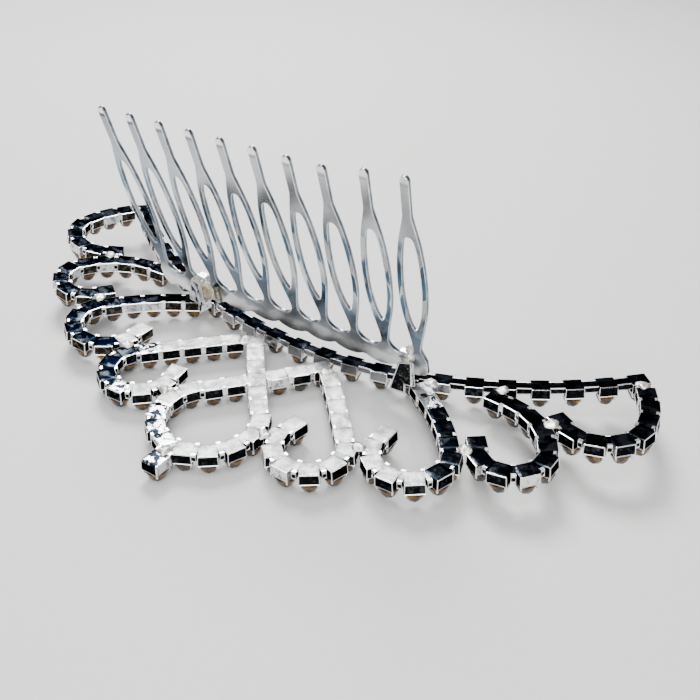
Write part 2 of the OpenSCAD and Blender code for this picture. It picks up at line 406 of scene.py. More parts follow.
@dataclass(frozen=True)
class PaintedLightComb(Surface):
    """Stamped steel whose tone, painted light, changes up and along the comb.

    The bar is painted white as a painted highlight and frosted, and the rings carry painted
    highlights, with crisp blue-steel patches of painted reflection between. The fingers are an even
    grey that a painted highlight lightens towards the right, and each tip is a painted highlight cap
    with a painted shadow line under it. All lengths are in millimetres.
    """

    # Height on the comb, and the painted-light tone there
    tones: tuple[tuple[float, str], ...]
    painted_reflection_patch: str
    patch_w: float
    patch_h: float
    patch_low: float
    patch_high: float
    comb_w: float
    comb_h: float
    bar_h: float
    bar_rough: float
    rough: float
    # Heights over which the patches fade in and out, and the bar turns to rings
    fade_in: float = 3.0
    fade_out: float = 4.0
    bar_fade: float = 3.0
    # Noise levels between which the edge of a patch lies
    crisp_low: float = 0.47
    crisp_high: float = 0.52
    # The tones sway much at the bar and hardly at the tips, and the sway changes between two heights
    sway_bar: float = 7.0
    sway_tip: float = 0.6
    sway_low: float = 8.0
    sway_high: float = 30.0
    # How much lighter the right end gets, as a painted highlight, between which heights, and between
    # which shares of the width
    painted_highlight: float = 0.5
    lift_low: float = 14.0
    lift_high: float = 20.0
    lift_left: float = -0.6
    lift_right: float = 0.5

    def look(self, tree: bpy.types.NodeTree, coord: bpy.types.NodeSocket) -> Sockets:
        """Adds the painted-light tones, the patches of painted reflection and the change in gloss.

        Args:
            tree: the material's node tree.
            coord: the place on the object.

        Returns:
            Values and links of the shader's sockets.
        """
        back = COMB.place().inverted()
        on_comb = add_node(
            tree,
            "ShaderNodeMapping",
            {"Location": back.to_translation() * MM, "Rotation": back.to_euler()},
            {"Vector": coord},
        ).outputs["Vector"]
        ways = add_node(tree, "ShaderNodeSeparateXYZ", links={"Vector": on_comb}).outputs
        height = ways["Y"]
        wave = add_node(
            tree,
            "ShaderNodeTexNoise",
            {"Scale": per_mm(self.patch_h), "Detail": 2.0},
            {"Vector": on_comb},
        ).outputs["Fac"]
        centred = add_node(
            tree, "ShaderNodeMath", {1: 0.5}, {0: wave}, operation="SUBTRACT"
        ).outputs["Value"]
        sway = add_node(
            tree,
            "ShaderNodeMapRange",
            {
                "From Min": self.sway_low * MM,
                "From Max": self.sway_high * MM,
                "To Min": self.sway_bar * MM,
                "To Max": self.sway_tip * MM,
            },
            {"Value": height},
        ).outputs["Result"]
        waved = add_node(
            tree,
            "ShaderNodeMath",
            links={0: centred, 1: sway, 2: height},
            operation="MULTIPLY_ADD",
        ).outputs["Value"]
        along = add_node(
            tree,
            "ShaderNodeMapRange",
            {"From Min": 0.0, "From Max": self.comb_h * MM},
            {"Value": waved},
        ).outputs["Result"]
        ramp = add_node(tree, "ShaderNodeValToRGB", links={"Fac": along})
        stops = ramp.color_ramp.elements
        stops.remove(stops[1])
        stops[0].color = linear(self.tones[0][1])
        for h, tone in self.tones[1:]:
            stops.new(h / self.comb_h).color = linear(tone)
        stretched = add_node(
            tree,
            "ShaderNodeMapping",
            {"Scale": (1 / self.patch_w, 1 / self.patch_h, 1 / self.patch_h)},
            {"Vector": on_comb},
        ).outputs["Vector"]
        blocks = add_node(
            tree,
            "ShaderNodeTexNoise",
            {"Scale": 1 / MM, "Detail": 0.6, "Distortion": 0.25},
            {"Vector": stretched},
        ).outputs["Fac"]
        share = add_node(
            tree,
            "ShaderNodeMapRange",
            {"From Min": self.crisp_low, "From Max": self.crisp_high},
            {"Value": blocks},
        ).outputs["Result"]
        for none, full in (
            (self.patch_low, self.patch_low + self.fade_in),
            (self.patch_high, self.patch_high - self.fade_out),
        ):
            limit = add_node(
                tree,
                "ShaderNodeMapRange",
                {"From Min": none * MM, "From Max": full * MM},
                {"Value": height},
            ).outputs["Result"]
            share = add_node(
                tree, "ShaderNodeMath", links={0: share, 1: limit}, operation="MULTIPLY"
            ).outputs["Value"]
        # The painted highlight that lightens the right end of the fingers
        rightwards = add_node(
            tree,
            "ShaderNodeMapRange",
            {
                "From Min": self.lift_left * self.comb_w * MM,
                "From Max": self.lift_right * self.comb_w * MM,
            },
            {"Value": ways["X"]},
        ).outputs["Result"]
        upper = add_node(
            tree,
            "ShaderNodeMapRange",
            {
                "From Min": self.lift_low * MM,
                "From Max": self.lift_high * MM,
                "To Max": self.painted_highlight,
            },
            {"Value": height},
        ).outputs["Result"]
        painted_highlight = add_node(
            tree, "ShaderNodeMath", links={0: rightwards, 1: upper}, operation="MULTIPLY"
        ).outputs["Value"]
        highlighted = add_node(
            tree,
            "ShaderNodeMix",
            {MIX_SECOND: linear("FFFFFF")},
            {MIX_SHARE: painted_highlight, MIX_FIRST: ramp.outputs["Color"]},
            data_type="RGBA",
        ).outputs[MIX_RESULT]
        colour = add_node(
            tree,
            "ShaderNodeMix",
            {MIX_SECOND: linear(self.painted_reflection_patch)},
            {MIX_SHARE: share, MIX_FIRST: highlighted},
            data_type="RGBA",
        ).outputs[MIX_RESULT]
        rough = add_node(
            tree,
            "ShaderNodeMapRange",
            {
                "From Min": self.bar_h * MM,
                "From Max": (self.bar_h + self.bar_fade) * MM,
                "To Min": self.bar_rough,
                "To Max": self.rough,
            },
            {"Value": waved},
        ).outputs["Result"]
        return {"Metallic": 1.0}, {"Base Color": colour, "Roughness": rough}


class Finish(Enum):
    """Every finish on the crown, and the floor's."""

    # Silver-plated brass, tumbled: a sandy grey-white sheen with soft clouds
    SATIN = PlatedMetal(
        "satin_silver_plate",
        "DBDBD8",
        "87898B",
        share=0.5,
        patch_mm=1.9,
        sharpness=0.34,
        rough=0.45,
        grit_mm=0.17,
        bump_mm=0.008,
        distortion=0.1,
        speckle=0.7,
    )
    # The same plating painted near black with grey patches, as painted dark reflection
    MIRROR = PlatedMetal(
        "painted_dark_reflection_plate",
        "101317",
        "383C42",
        share=0.34,
        patch_mm=1.7,
        rough=0.14,
        bump_mm=0.004,
        speckle=0.35,
        grazing="5E6266",
    )
    # White plating with blue-black patches painted in as painted dark reflection
    POOLED = PlatedMetal(
        "painted_pools_silver_plate",
        "E9EBED",
        "0E1620",
        share=0.5,
        patch_mm=1.0,
        sharpness=0.08,
        rough=0.2,
        bump_mm=0.006,
    )
    # Rolled edges of the cups, worn to a high polish
    RIM = PlatedMetal(
        "polished_silver_edge",
        "FFFFFF",
        "DCDFE3",
        share=0.2,
        patch_mm=1.2,
        rough=0.2,
        bump_mm=0.003,
    )
    # Pressed cup walls with the grain of the press tool, painted near black: painted dark reflection
    # on the panels and channel sides, painted shade in the hollows and bores
    WALL = PlatedMetal(
        "painted_dark_cup_wall",
        "0C0D0F",
        "33363A",
        share=0.3,
        patch_mm=0.8,
        rough=0.26,
        bump_mm=0.01,
        speckle=0.4,
        grazing="4A4A4A",
    )
    # Cup walls painted near black with a brown tint, as painted dark reflection
    WARM_WALL = PlatedMetal(
        "painted_dark_warm_wall",
        "1C1A17",
        "58534A",
        share=0.4,
        patch_mm=0.8,
        rough=0.28,
        bump_mm=0.01,
        speckle=0.5,
        grazing="5A5750",
    )
    # Cup walls that the tumbling left pale
    PALE_WALL = PlatedMetal(
        "tumbled_cup_wall",
        "E9E9EC",
        "8F939B",
        share=0.35,
        patch_mm=0.9,
        rough=0.3,
        bump_mm=0.01,
        speckle=0.5,
    )
    # Channel sides with rolled slanting lines, bright between grooves darkened with painted shade
    KNURL = KnurledMetal("knurled_channel_side", "D2D3D4", "101113")
    # Comb steel with painted light: painted highlights on the frosted bar, lower rings and tips,
    # patches of painted reflection, even grey above
    COMB_FACE = PaintedLightComb(
        "comb_steel_painted_light",
        (
            # Painted highlight on the bar, the rings' lower halves and the tip caps, darker blue-grey
            # over the stems, and a painted shadow line under each cap
            (0.0, "FFFFFF"),
            (3.4, "FFFFFF"),
            (4.6, "A9AEB4"),
            (7.0, "6F7883"),
            (10.0, "667583"),
            (12.5, "B9C4CE"),
            (15.0, "F8FAFB"),
            (20.5, "E4E9ED"),
            (24.5, "A6ACB4"),
            (30.0, "9CA1A9"),
            (36.3, "8A8F97"),
            (36.5, "33373C"),
            (36.9, "33373C"),
            (37.0, "FFFFFF"),
            (38.0, "F1F3F5"),
        ),
        painted_reflection_patch="607F99",
        patch_w=1.6,
        patch_h=4.6,
        patch_low=9.0,
        patch_high=29.0,
        comb_w=53.0,
        comb_h=38.0,
        bar_h=5.5,
        bar_rough=0.32,
        rough=0.16,
    )
    # The comb's rolled edge: a clean bright line round every tooth and ring
    COMB_EDGE = PlatedMetal(
        "polished_comb_edge",
        "FBFCFD",
        "BFC6CD",
        share=0.4,
        patch_mm=3.0,
        sharpness=0.4,
        rough=0.2,
        bump_mm=0.001,
        speckle=0.0,
    )
    # The sheared thickness of the sheet, duller than its faces and painted darker, as painted shade
    COMB_SIDE = PlatedMetal(
        "sheared_comb_side",
        "8E949C",
        "525A64",
        share=0.5,
        patch_mm=3.0,
        sharpness=0.4,
        rough=0.28,
        bump_mm=0.002,
        speckle=0.2,
    )
    # Tin solder, chilled in the air: creamy white and lumpy
    SOLDER = PlatedMetal(
        "cream_tin_solder",
        "FCFAF4",
        "D9D2C2",
        share=0.3,
        patch_mm=0.6,
        rough=0.36,
        bump_mm=0.04,
    )
    # The right clip's face, near black with grey flecks
    CLIP_DARK = PlatedMetal(
        "dark_clip_face",
        "0E0F11",
        "6E7073",
        share=0.2,
        patch_mm=0.45,
        rough=0.3,
        bump_mm=0.02,
        speckle=0.5,
    )
    # The left clip's folded leaf, with a pearly, slightly yellow plating
    CLIP_PEARL = PlatedMetal(
        "pearly_clip_face",
        "F0EAD2",
        "AFA07A",
        share=0.5,
        patch_mm=1.4,
        sharpness=0.3,
        rough=0.3,
        bump_mm=0.01,
        speckle=0.0,
    )
    # The rolled tube at its edge, tarnished a warm grey
    CLIP_WARM = PlatedMetal(
        "tarnished_clip_tube",
        "C9C5B8",
        "5E5A4F",
        share=0.55,
        patch_mm=1.2,
        sharpness=0.3,
        rough=0.26,
        bump_mm=0.01,
    )
    # The left clip's front, streaked grey
    CLIP_GREY = PlatedMetal(
        "streaked_clip_face",
        "F2F4F5",
        "30373D",
        share=0.42,
        patch_mm=0.9,
        stretch=(1.0, 1.0, 0.35),
        rough=0.2,
    )
    # Tables and stars of the stones: painted almost black, as painted dark reflection
    GLASS = CutGlass("painted_dark_cut_glass", "140D06", "060403", clear=0.1)
    # Facets by the girdle: an amber tint painted in for the gilt foil seen through them, with painted
    # dark reflection in patches
    AMBER = CutGlass("amber_glass_painted_foil", "7C4E10", "1E1206", clear=0.25)
    # Gilt foil under the stones' pavilions
    FOIL = PlatedMetal("gilt_foil", "7A5418", "2A1C0B", share=0.5, patch_mm=0.8, rough=0.15)
    # Uncoated studio paper: an even pale grey without gloss
    PAPER = MattPaper("studio_paper", "E4E4E2", "DDDDDB")


@cache
def dress(finish: Finish) -> bpy.types.Material:
    """Gives the one material of a finish, made when it is first asked for."""
    return finish.value.material()


# Meshes


def circle(radius: float, z: float, count: int, lead: float = 0.0) -> list[Point]:
    """Gives count points round an upright axis, at height z, the first one at the angle lead."""
    turns = [lead + 2 * math.pi * i / count for i in range(count)]
    return [(radius * math.cos(a), radius * math.sin(a), z) for a in turns]


def normals(line: list[Flat]) -> list[Vector]:
    """Directions square to a flat line, to the left of its course.

    Args:
        line: its points.

    Returns:
        One direction for each point.
    """
    found = []
    last = len(line) - 1
    for i in range(len(line)):
        (x0, y0), (x1, y1) = line[max(0, i - 1)], line[min(last, i + 1)]
        along = Vector((x1 - x0, y1 - y0)).normalized()
        found.append(Vector((-along.y, along.x)))
    return found


@dataclass
class Shape:
    """Points in millimetres and faces, each face with the finish that it has."""

    points: list[Point] = field(default_factory=list)
    faces: list[tuple[int, ...]] = field(default_factory=list)
    finishes: list[Finish] = field(default_factory=list)

    def face(self, corners: tuple[int, ...], finish: Finish) -> None:
        """Adds one face, whose corners run anticlockwise seen from outside."""
        self.faces.append(corners)
        self.finishes.append(finish)

    def add(
        self, other: "Shape", place: Matrix, swap: dict[Finish, Finish] | None = None
    ) -> None:
        """Adds a copy of another shape.

        Args:
            other: the shape to copy.
            place: where the copy goes, in millimetres.
            swap: finishes of the copy that change, old to new.
        """
        first = len(self.points)
        swap = swap or {}
        self.points += [tuple(place @ Vector(p)) for p in other.points]
        for corners, finish in zip(other.faces, other.finishes):
            self.face(tuple(first + c for c in corners), swap.get(finish, finish))

    def bridge(self, low: list[int], high: list[int], finishes: list[Finish]) -> None:
        """Joins two closed rings of points with quads.

        Args:
            low: the first ring's point numbers.
            high: the second ring's, as many.
            finishes: the finish of each quad.
        """
        count = len(low)
        for i in range(count):
            j = (i + 1) % count
            self.face((low[i], low[j], high[j], high[i]), finishes[i])

    def ring(self, points: list[Point]) -> list[int]:
        """Adds points.

        Args:
            points: the points of a ring, in order.

        Returns:
            Their numbers.
        """
        first = len(self.points)
        self.points += points
        return list(range(first, len(self.points)))

    def loft(
        self, rings: list[list[Point]], sides: list[Finish], foot: Finish, head: Finish
    ) -> None:
        """Adds a closed body through a row of rings.

        Args:
            rings: the points of each ring, anticlockwise seen from the last one.
            sides: the finish of each quad round the body.
            foot: the finish of the face on the first ring.
            head: the finish of the face on the last ring.
        """
        numbers = [self.ring(points) for points in rings]
        for low, high in pairwise(numbers):
            self.bridge(low, high, sides)
        self.face(tuple(numbers[-1]), head)
        self.face(tuple(reversed(numbers[0])), foot)

    def build(self, name: str, smooth_deg: float = 32.0) -> bpy.types.Object:
        """Makes the object, in metres, with one material slot for each finish it uses.

        Args:
            name: the object's name.
            smooth_deg: edges flatter than this are smooth.

        Returns:
            The new object, linked into the scene.
        """
        used = list(dict.fromkeys(self.finishes))
        mesh = bpy.data.meshes.new(name)
        mesh.from_pydata([[c * MM for c in p] for p in self.points], [], self.faces)
        for finish in used:
            mesh.materials.append(dress(finish))
        slots = {finish: i for i, finish in enumerate(used)}
        mesh.polygons.foreach_set("material_index", [slots[f] for f in self.finishes])
        mesh.polygons.foreach_set("use_smooth", [True] * len(self.faces))
        mesh.update()
        mesh.set_sharp_from_angle(angle=math.radians(smooth_deg))
        return add_object(name, mesh)


def hand_in(piece: bpy.types.Object, node: str) -> None:
    """Seats a finished piece on the crown in place of its CAD node.

    Args:
        piece: the dressed object.
        node: the CAD node that it stands for.
    """
    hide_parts(node)
    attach(piece, ROOT)
    triangles = sum(len(p.vertices) - 2 for p in piece.data.polygons)
    LOG.info("%s stands for %s, %d triangles", piece.name, node, triangles)


# Layout of the crown


class Side(Enum):
    """The halves of the crown, as its node names call them."""

    RIGHT = "right"
    LEFT = "left"


@dataclass(frozen=True)
class Spot:
    """A place on the crown: across, up, and the heading of its chain in degrees."""

    across: float
    up: float
    heading: float

    def mirrored(self) -> "Spot":
        """The same place on the other half of the crown."""
        return Spot(-self.across, self.up, 180 - self.heading)

    def to(self, other: "Spot") -> "Spot":
        """Finds the place halfway to another, facing along the line between them.

        Args:
            other: the other place.

        Returns:
            The place between.
        """
        heading = math.atan2(other.up - self.up, other.across - self.across)
        return Spot(
            (self.across + other.across) / 2,
            (self.up + other.up) / 2,
            math.degrees(heading),
        )


@dataclass(frozen=True)
class Bend:
    """How one loop is bent: its first cup, a leg of links, and a rounded head of links."""

    start_across: float
    start_up: float
    heading: float
    leg_links: int
    leg_bend: float
    head_links: int
    head_bend: float

    def spots(self, pitch: float) -> list[Spot]:
        """Places of all its cups.

        Args:
            pitch: spacing of the cups.

        Returns:
            One spot for each cup, from the base chain on.
        """
        count = 1 + self.leg_links + self.head_links
        headings = [
            self.heading
            + min(i, self.leg_links) * self.leg_bend
            + max(0, i - self.leg_links) * self.head_bend
            for i in range(count)
        ]
        across, up = self.start_across, self.start_up
        places = [(across, up)]
        for heading in headings:
            across += pitch * math.cos(math.radians(heading))
            up += pitch * math.sin(math.radians(heading))
            places.append((across, up))
        facing = (
            [headings[0]]
            + [(a + b) / 2 for a, b in pairwise(headings)]
            + [headings[-1]]
        )
        return [Spot(p[0], p[1], h) for p, h in zip(places, facing)]


def joins(spots: list[Spot]) -> list[Spot]:
    """Places between each two neighbours."""
    return [a.to(b) for a, b in pairwise(spots)]


@dataclass(frozen=True)
class Layout:
    """Where every cup of the crown lies, in millimetres."""

    loop_pitch: float = 3.5
    bow_radius: float = 375.0
    base_radius: float = 83.5
    base_pitch: float = 5.05
    base_side_cups: int = 11
    base_rise: float = 1.4
    tip_rise: float = 36.0
    rim_half: float = 1.55
    cup_w: float = 2.8
    tip_gap: float = 0.4
    # The cup of the middle loop that both of its legs share, where they cross
    crossing: int = 3
    # Each bend: start across and up, heading, links and bend of the leg, links and bend of the head
    centre: Bend = Bend(-6.6, 5.0, 51.6, 5, -0.55, 4, 26.2)
    loops: tuple[Bend, ...] = (
        Bend(9.7, 6.8, 46.9, 4, 1.0, 6, 38.3),
        Bend(23.15, 1.45, 38.3, 4, 4.8, 6, 35.6),
        Bend(34.2, -2.1, 10.1, 4, 15.8, 4, 40.9),
        Bend(53.75, -13.2, 66.3, 2, 11.8, 4, 32.1),
    )

    def base_spot(self, k: int) -> Spot:
        """Finds one cup of the base chain.

        Args:
            k: its number, counted from the middle cup, negative on the left.

        Returns:
            Its spot.
        """
        turn = k * self.base_pitch / self.base_radius
        return Spot(
            self.base_radius * math.sin(turn),
            self.base_rise - self.base_radius * (1 - math.cos(turn)),
            -math.degrees(turn),
        )

    def base(self) -> list[Spot]:
        """All cups of the base chain."""
        side = self.base_side_cups
        return [self.base_spot(k) for k in range(-side, side + 1)]

    def centre_half(self) -> list[Spot]:
        """The half of the middle loop that starts on the left and ends on the right."""
        return self.centre.spots(self.loop_pitch)

    def centre_spots(self) -> list[Spot]:
        """Finds all cups of the middle loop.

        Returns:
            Their spots, with the one at the tip last.
        """
        half = self.centre_half()
        other = [s.mirrored() for i, s in enumerate(half) if i != self.crossing]
        return half + other + [Spot(0, self.tip_rise, 90)]

    def centre_joins(self) -> list[Spot]:
        """Finds all channels of the middle loop.

        Returns:
            Their spots, with the one at the tip last.
        """
        half = self.centre_half()
        other = [s.mirrored() for s in half]
        tip = Spot(0, self.tip_rise - self.cup_w / 2 - self.tip_gap, 90)
        return joins(half) + joins(other) + [half[-1].to(other[-1]), tip]

    def loop(self, number: int, side: Side) -> list[Spot]:
        """The cups of one hooked loop, from the base chain on: loop 1 is next to the middle."""
        spots = self.loops[number - 1].spots(self.loop_pitch)
        return spots if side is Side.RIGHT else [s.mirrored() for s in spots]

    def middle_up(self) -> float:
        """Finds where the middle of the whole crown lies, which is the frame's origin.

        Returns:
            How far up the crown it is.
        """
        end = self.base_spot(self.base_side_cups)
        turn = math.radians(-end.heading)
        low = end.up - self.rim_half * (math.cos(turn) + math.sin(turn))
        return (self.tip_rise + self.rim_half + low) / 2

    def on_bow(self, spot: Spot) -> Matrix:
        """Lays a piece on the crown's bowed surface.

        Args:
            spot: where on the crown the piece goes.

        Returns:
            Its place, in millimetres.
        """
        lean = spot.across / self.bow_radius
        return (
            Matrix.Translation(
                (
                    self.bow_radius * math.sin(lean),
                    self.middle_up() - spot.up,
                    self.bow_radius * (1 - math.cos(lean)),
                )
            )
            @ Matrix.Rotation(-lean, 4, "Y")
            @ Matrix.Rotation(math.radians(-spot.heading), 4, "Z")
        )


LAYOUT = Layout()


# Cup chain


@dataclass(frozen=True)
class Cup:
    """One open square cup: a flat back plate, four flared walls with sunk panels, and four claws."""

    top: float = 3.5
    half: float = 1.44
    rim_half: float = 1.51
    rim_low: float = 1.75
    wall: float = 0.2
    corner: float = 0.06
    edge: float = 0.07
    frame: float = 0.05
    sunk: float = 0.05
    slope: float = 0.03
    lip: float = 0.11
    arc_steps: int = 2
    least_inner: float = 0.05
    # The back plate: the share of its width that is its middle, and its thickness
    plate_share: float = 0.6
    plate_t: float = 0.3
    # Its rolled edge lies this many of its own widths in from the side
    edge_in: float = 1.3
    edge_out: float = 0.3
    # The bright band above the panels, and the bead at the walls' foot
    band: float = 0.06
    foot_out: float = 0.02
    foot_h: float = 0.07
    # A claw: how far out from the cup's middle, half its width, half its thickness
    claw_out: float = 1.78
    claw_w: float = 0.17
    claw_t: float = 0.12
    claw_sides: int = 6
    # Along a claw: how far out, its height, and shares of its width and thickness
    claw_path: tuple[tuple[float, float, float, float], ...] = (
        (-0.02, 2.1, 1.0, 1.0),
        (0.0, 1.75, 1.0, 1.0),
        (0.0, 1.4, 0.95, 0.95),
        (-0.06, 1.16, 0.9, 0.9),
        (-0.2, 0.99, 0.8, 0.75),
        (-0.34, 0.93, 0.6, 0.5),
    )
    panel: Finish = Finish.WALL

    def side_half(self, z: float) -> float:
        """Half width of the outer wall at a height."""
        flare = (self.rim_half - self.half) * (self.top - z) / (self.top - self.rim_low)
        return self.half + flare

    def square(self, half: float, corner: float, z: float, sunk: float) -> list[Point]:
        """One ring round the cup.

        Args:
            half: half its width.
            corner: radius of its corners.
            z: its height.
            sunk: how far the middle of each side lies in.

        Returns:
            Its points, seven a side.
        """
        inner = max(self.least_inner, half - corner - self.frame)
        side = [
            (half, -inner),
            (half - sunk, -inner + self.slope),
            (half - sunk, inner - self.slope),
            (half, inner),
        ]
        for i in range(self.arc_steps + 1):
            turn = math.pi / 2 * i / self.arc_steps
            side.append(
                (
                    half - corner + corner * math.cos(turn),
                    half - corner + corner * math.sin(turn),
                )
            )
        points = []
        for c, s in [(1, 0), (0, 1), (-1, 0), (0, -1)]:
            points += [(x * c - y * s, x * s + y * c, z) for x, y in side]
        return points

    def shell(self, shape: Shape, pale: frozenset[int]) -> None:
        """Adds the plate, the walls and the hollow.

        Args:
            shape: what they are added to.
            pale: which of the four walls have a pale panel.
        """
        per_side = 5 + self.arc_steps
        count = 4 * per_side
        plain = [Finish.RIM] * count
        plates = [Finish.SATIN] * count
        # The hollow inside the cup is painted dark, as painted shade
        inside = [Finish.WALL] * count
        walls, edges = list(plain), list(plain)
        for side in range(4):
            finish = Finish.PALE_WALL if side in pale else self.panel
            walls[side * per_side + 1] = finish
            if side % 2 == 0:
                first = side * per_side
                edges[first : first + 4] = [Finish.SATIN] * 4
        top, low, edge = self.top, self.rim_low, self.edge
        high, foot = top - edge - self.band, low + self.lip
        upper, lower, out = self.side_half(high), self.side_half(foot), self.foot_out
        start, end = edge * self.edge_in, edge * self.edge_out
        # Half width, height, how far the sides are sunk, and the finishes down to the next row
        rows = [
            (self.half * self.plate_share, top, 0.0, plates),
            (self.half - start, top, 0.0, edges),
            (self.half - end, top - end, 0.0, edges),
            (upper, high, 0.0, plain),
            (upper, high - self.slope, self.sunk, walls),
            (lower, foot + self.slope, self.sunk, plain),
            (lower, foot, 0.0, plain),
            (self.rim_half + out, low + self.foot_h, 0.0, plain),
            (self.rim_half - out, low, 0.0, plain),
            (self.rim_half - self.wall, low + out, 0.0, inside),
            (self.half - self.wall, top - self.plate_t, 0.0, inside),
        ]
        rings = []
        for half, z, sunk, _ in rows:
            corner = self.corner if rings else self.corner / 2
            rings.append(shape.ring(self.square(half, corner, z, sunk)))
        shape.face(tuple(rings[0]), Finish.SATIN)
        for (above, below), row in zip(pairwise(rings), rows):
            shape.bridge(below, above, row[-1])
        shape.face(tuple(reversed(rings[-1])), Finish.WALL)

    def claw(self, shape: Shape, turn: float) -> None:
        """Adds one claw that hooks over the stone.

        Args:
            shape: what it is added to.
            turn: its direction round the cup, in radians.
        """
        path = [(self.claw_out + out, z) for out, z, _, _ in self.claw_path]
        rings = []
        for (out, z), across, (_, _, wide, thick) in zip(
            path, normals(path), self.claw_path
        ):
            ring = []
            for step in range(self.claw_sides):
                a = 2 * math.pi / self.claw_sides * (step + 0.5)
                side = math.cos(a) * self.claw_w * wide
                deep = math.sin(a) * self.claw_t * thick
                radius, height = out + across.x * deep, z + across.y * deep
                ring.append(
                    (
                        radius * math.cos(turn) - side * math.sin(turn),
                        radius * math.sin(turn) + side * math.cos(turn),
                        height,
                    )
                )
            rings.append(ring)
        shape.loft(rings, [Finish.RIM] * self.claw_sides, Finish.RIM, Finish.RIM)

    def shape(self, pale: frozenset[int]) -> Shape:
        """The whole cup.

        Args:
            pale: which of its walls have a pale panel.

        Returns:
            Its shape, at the origin.
        """
        made = Shape()
        self.shell(made, pale)
        for quarter in range(4):
            self.claw(made, math.pi / 4 + math.pi / 2 * quarter)
        return made


@dataclass(frozen=True)
class Channel:
    """The channel between two cups: a flat top, square bright shoulders and sunk side panels."""

    length: float
    half_w: float
    top: float
    depth: float
    shoulder_w: float
    shoulder_h: float
    ends: float
    frame: float
    raised: float = 0.05
    sunk: float = 0.07
    # Width of the slopes beside the shoulders and round the panels, and size of the outer edges
    shoulder_slope: float = 0.04
    slope: float = 0.03
    edge: float = 0.05

    def section(self, sunk: float) -> list[Flat]:
        """Cross-section of the channel, across and up.

        Args:
            sunk: how far its side panels lie in.

        Returns:
            Its points in order round it.
        """
        w, low = self.half_w, self.top - self.depth
        high, band = self.top + self.raised, self.top - self.shoulder_h
        right = [
            (w - self.shoulder_w - self.shoulder_slope, self.top),
            (w - self.shoulder_w, high),
            (w - self.edge, high),
            (w, high - self.edge),
            (w, band),
            (w - sunk, band - self.slope),
            (w - sunk, low + self.frame + self.slope),
            (w, low + self.frame),
            (w, low),
        ]
        return right + [(-x, z) for x, z in reversed(right)]

    def shape(self) -> Shape:
        """Builds the whole channel.

        Returns:
            Its shape, along X.
        """
        made = Shape()
        end = self.length / 2
        inner = end - self.ends
        stations = [
            (-end, 0.0),
            (-inner, 0.0),
            (-inner + self.slope, self.sunk),
            (inner - self.slope, self.sunk),
            (inner, 0.0),
            (end, 0.0),
        ]
        rings = [
            made.ring([(x, y, z) for y, z in self.section(sunk)])
            for x, sunk in stations
        ]
        rim = Finish.RIM
        # The sunk side panels are painted dark, as painted dark reflection
        half = [rim] * 5 + [Finish.WALL] + [rim] * 2
        panels = half + [rim] + half[::-1] + [Finish.SATIN]
        plain = [rim if f is Finish.WALL else f for f in panels]
        for (left, right), finishes in zip(
            pairwise(rings), [plain, plain, panels, plain, plain]
        ):
            made.bridge(right, left, finishes)
        made.face(tuple(rings[0]), rim)
        made.face(tuple(reversed(rings[-1])), rim)
        return made


class Tone(Enum):
    """How a cup's back plate looks, by its letter in a row of tones."""

    SATIN = "s"
    MIRROR = "m"
    POOLED = "p"

    @property
    def finish(self) -> Finish:
        """The finish of a plate in this tone."""
        return Finish[self.name]


@dataclass
class CupChain:
    """One node of chain: cups, channels and the tone of its back plates."""

    node: str
    spots: list[Spot]
    links: list[Spot]
    channel: Channel
    tones: list[Tone]
    panels: list[Finish]
    link_sides: list[Finish]
    wobble_deg: float = 0.9
    pale_share: float = 0.18
    # Height of the point that a cup is turned about
    middle_h: float = 2.75

    def plate_at(self, spot: Spot) -> Finish:
        """The finish of the cup's plate that is nearest to a spot."""
        gaps = [math.hypot(s.across - spot.across, s.up - spot.up) for s in self.spots]
        return self.tones[gaps.index(min(gaps))].finish

    def build(self) -> bpy.types.Object:
        """Builds the chain as one object, each cup a little out of true.

        Returns:
            The object, in place of its node.
        """
        dice = random.Random(self.node)
        channel = self.channel.shape()
        made = Shape()
        middle = Vector((0, 0, self.middle_h))
        for spot, panel in zip(self.spots, self.panels):
            pale = frozenset(
                side for side in range(4) if dice.random() < self.pale_share
            )
            wobble = Matrix.Translation(middle)
            for axis in "XYZ":
                turn = math.radians(dice.uniform(-self.wobble_deg, self.wobble_deg))
                wobble = wobble @ Matrix.Rotation(turn, 4, axis)
            wobble = wobble @ Matrix.Translation(-middle)
            swap = {Finish.SATIN: self.plate_at(spot)}
            made.add(Cup(panel=panel).shape(pale), LAYOUT.on_bow(spot) @ wobble, swap)
        for spot, side in zip(self.links, self.link_sides):
            swap = {Finish.SATIN: self.plate_at(spot), Finish.WALL: side}
            made.add(channel, LAYOUT.on_bow(spot), swap)
        piece = made.build(self.node + "_metal")
        hand_in(piece, self.node)
        return piece


LOOP_CHANNEL = Channel(
    length=0.66,
    half_w=1.36,
    top=3.49,
    depth=1.2,
    shoulder_w=0.42,
    shoulder_h=0.36,
    ends=0.04,
    frame=0.1,
)
BASE_CHANNEL = Channel(
    length=2.75,
    half_w=0.95,
    top=3.42,
    depth=1.05,
    shoulder_w=0.12,
    shoulder_h=0.12,
    ends=0.26,
    frame=0.12,
)


# Stones


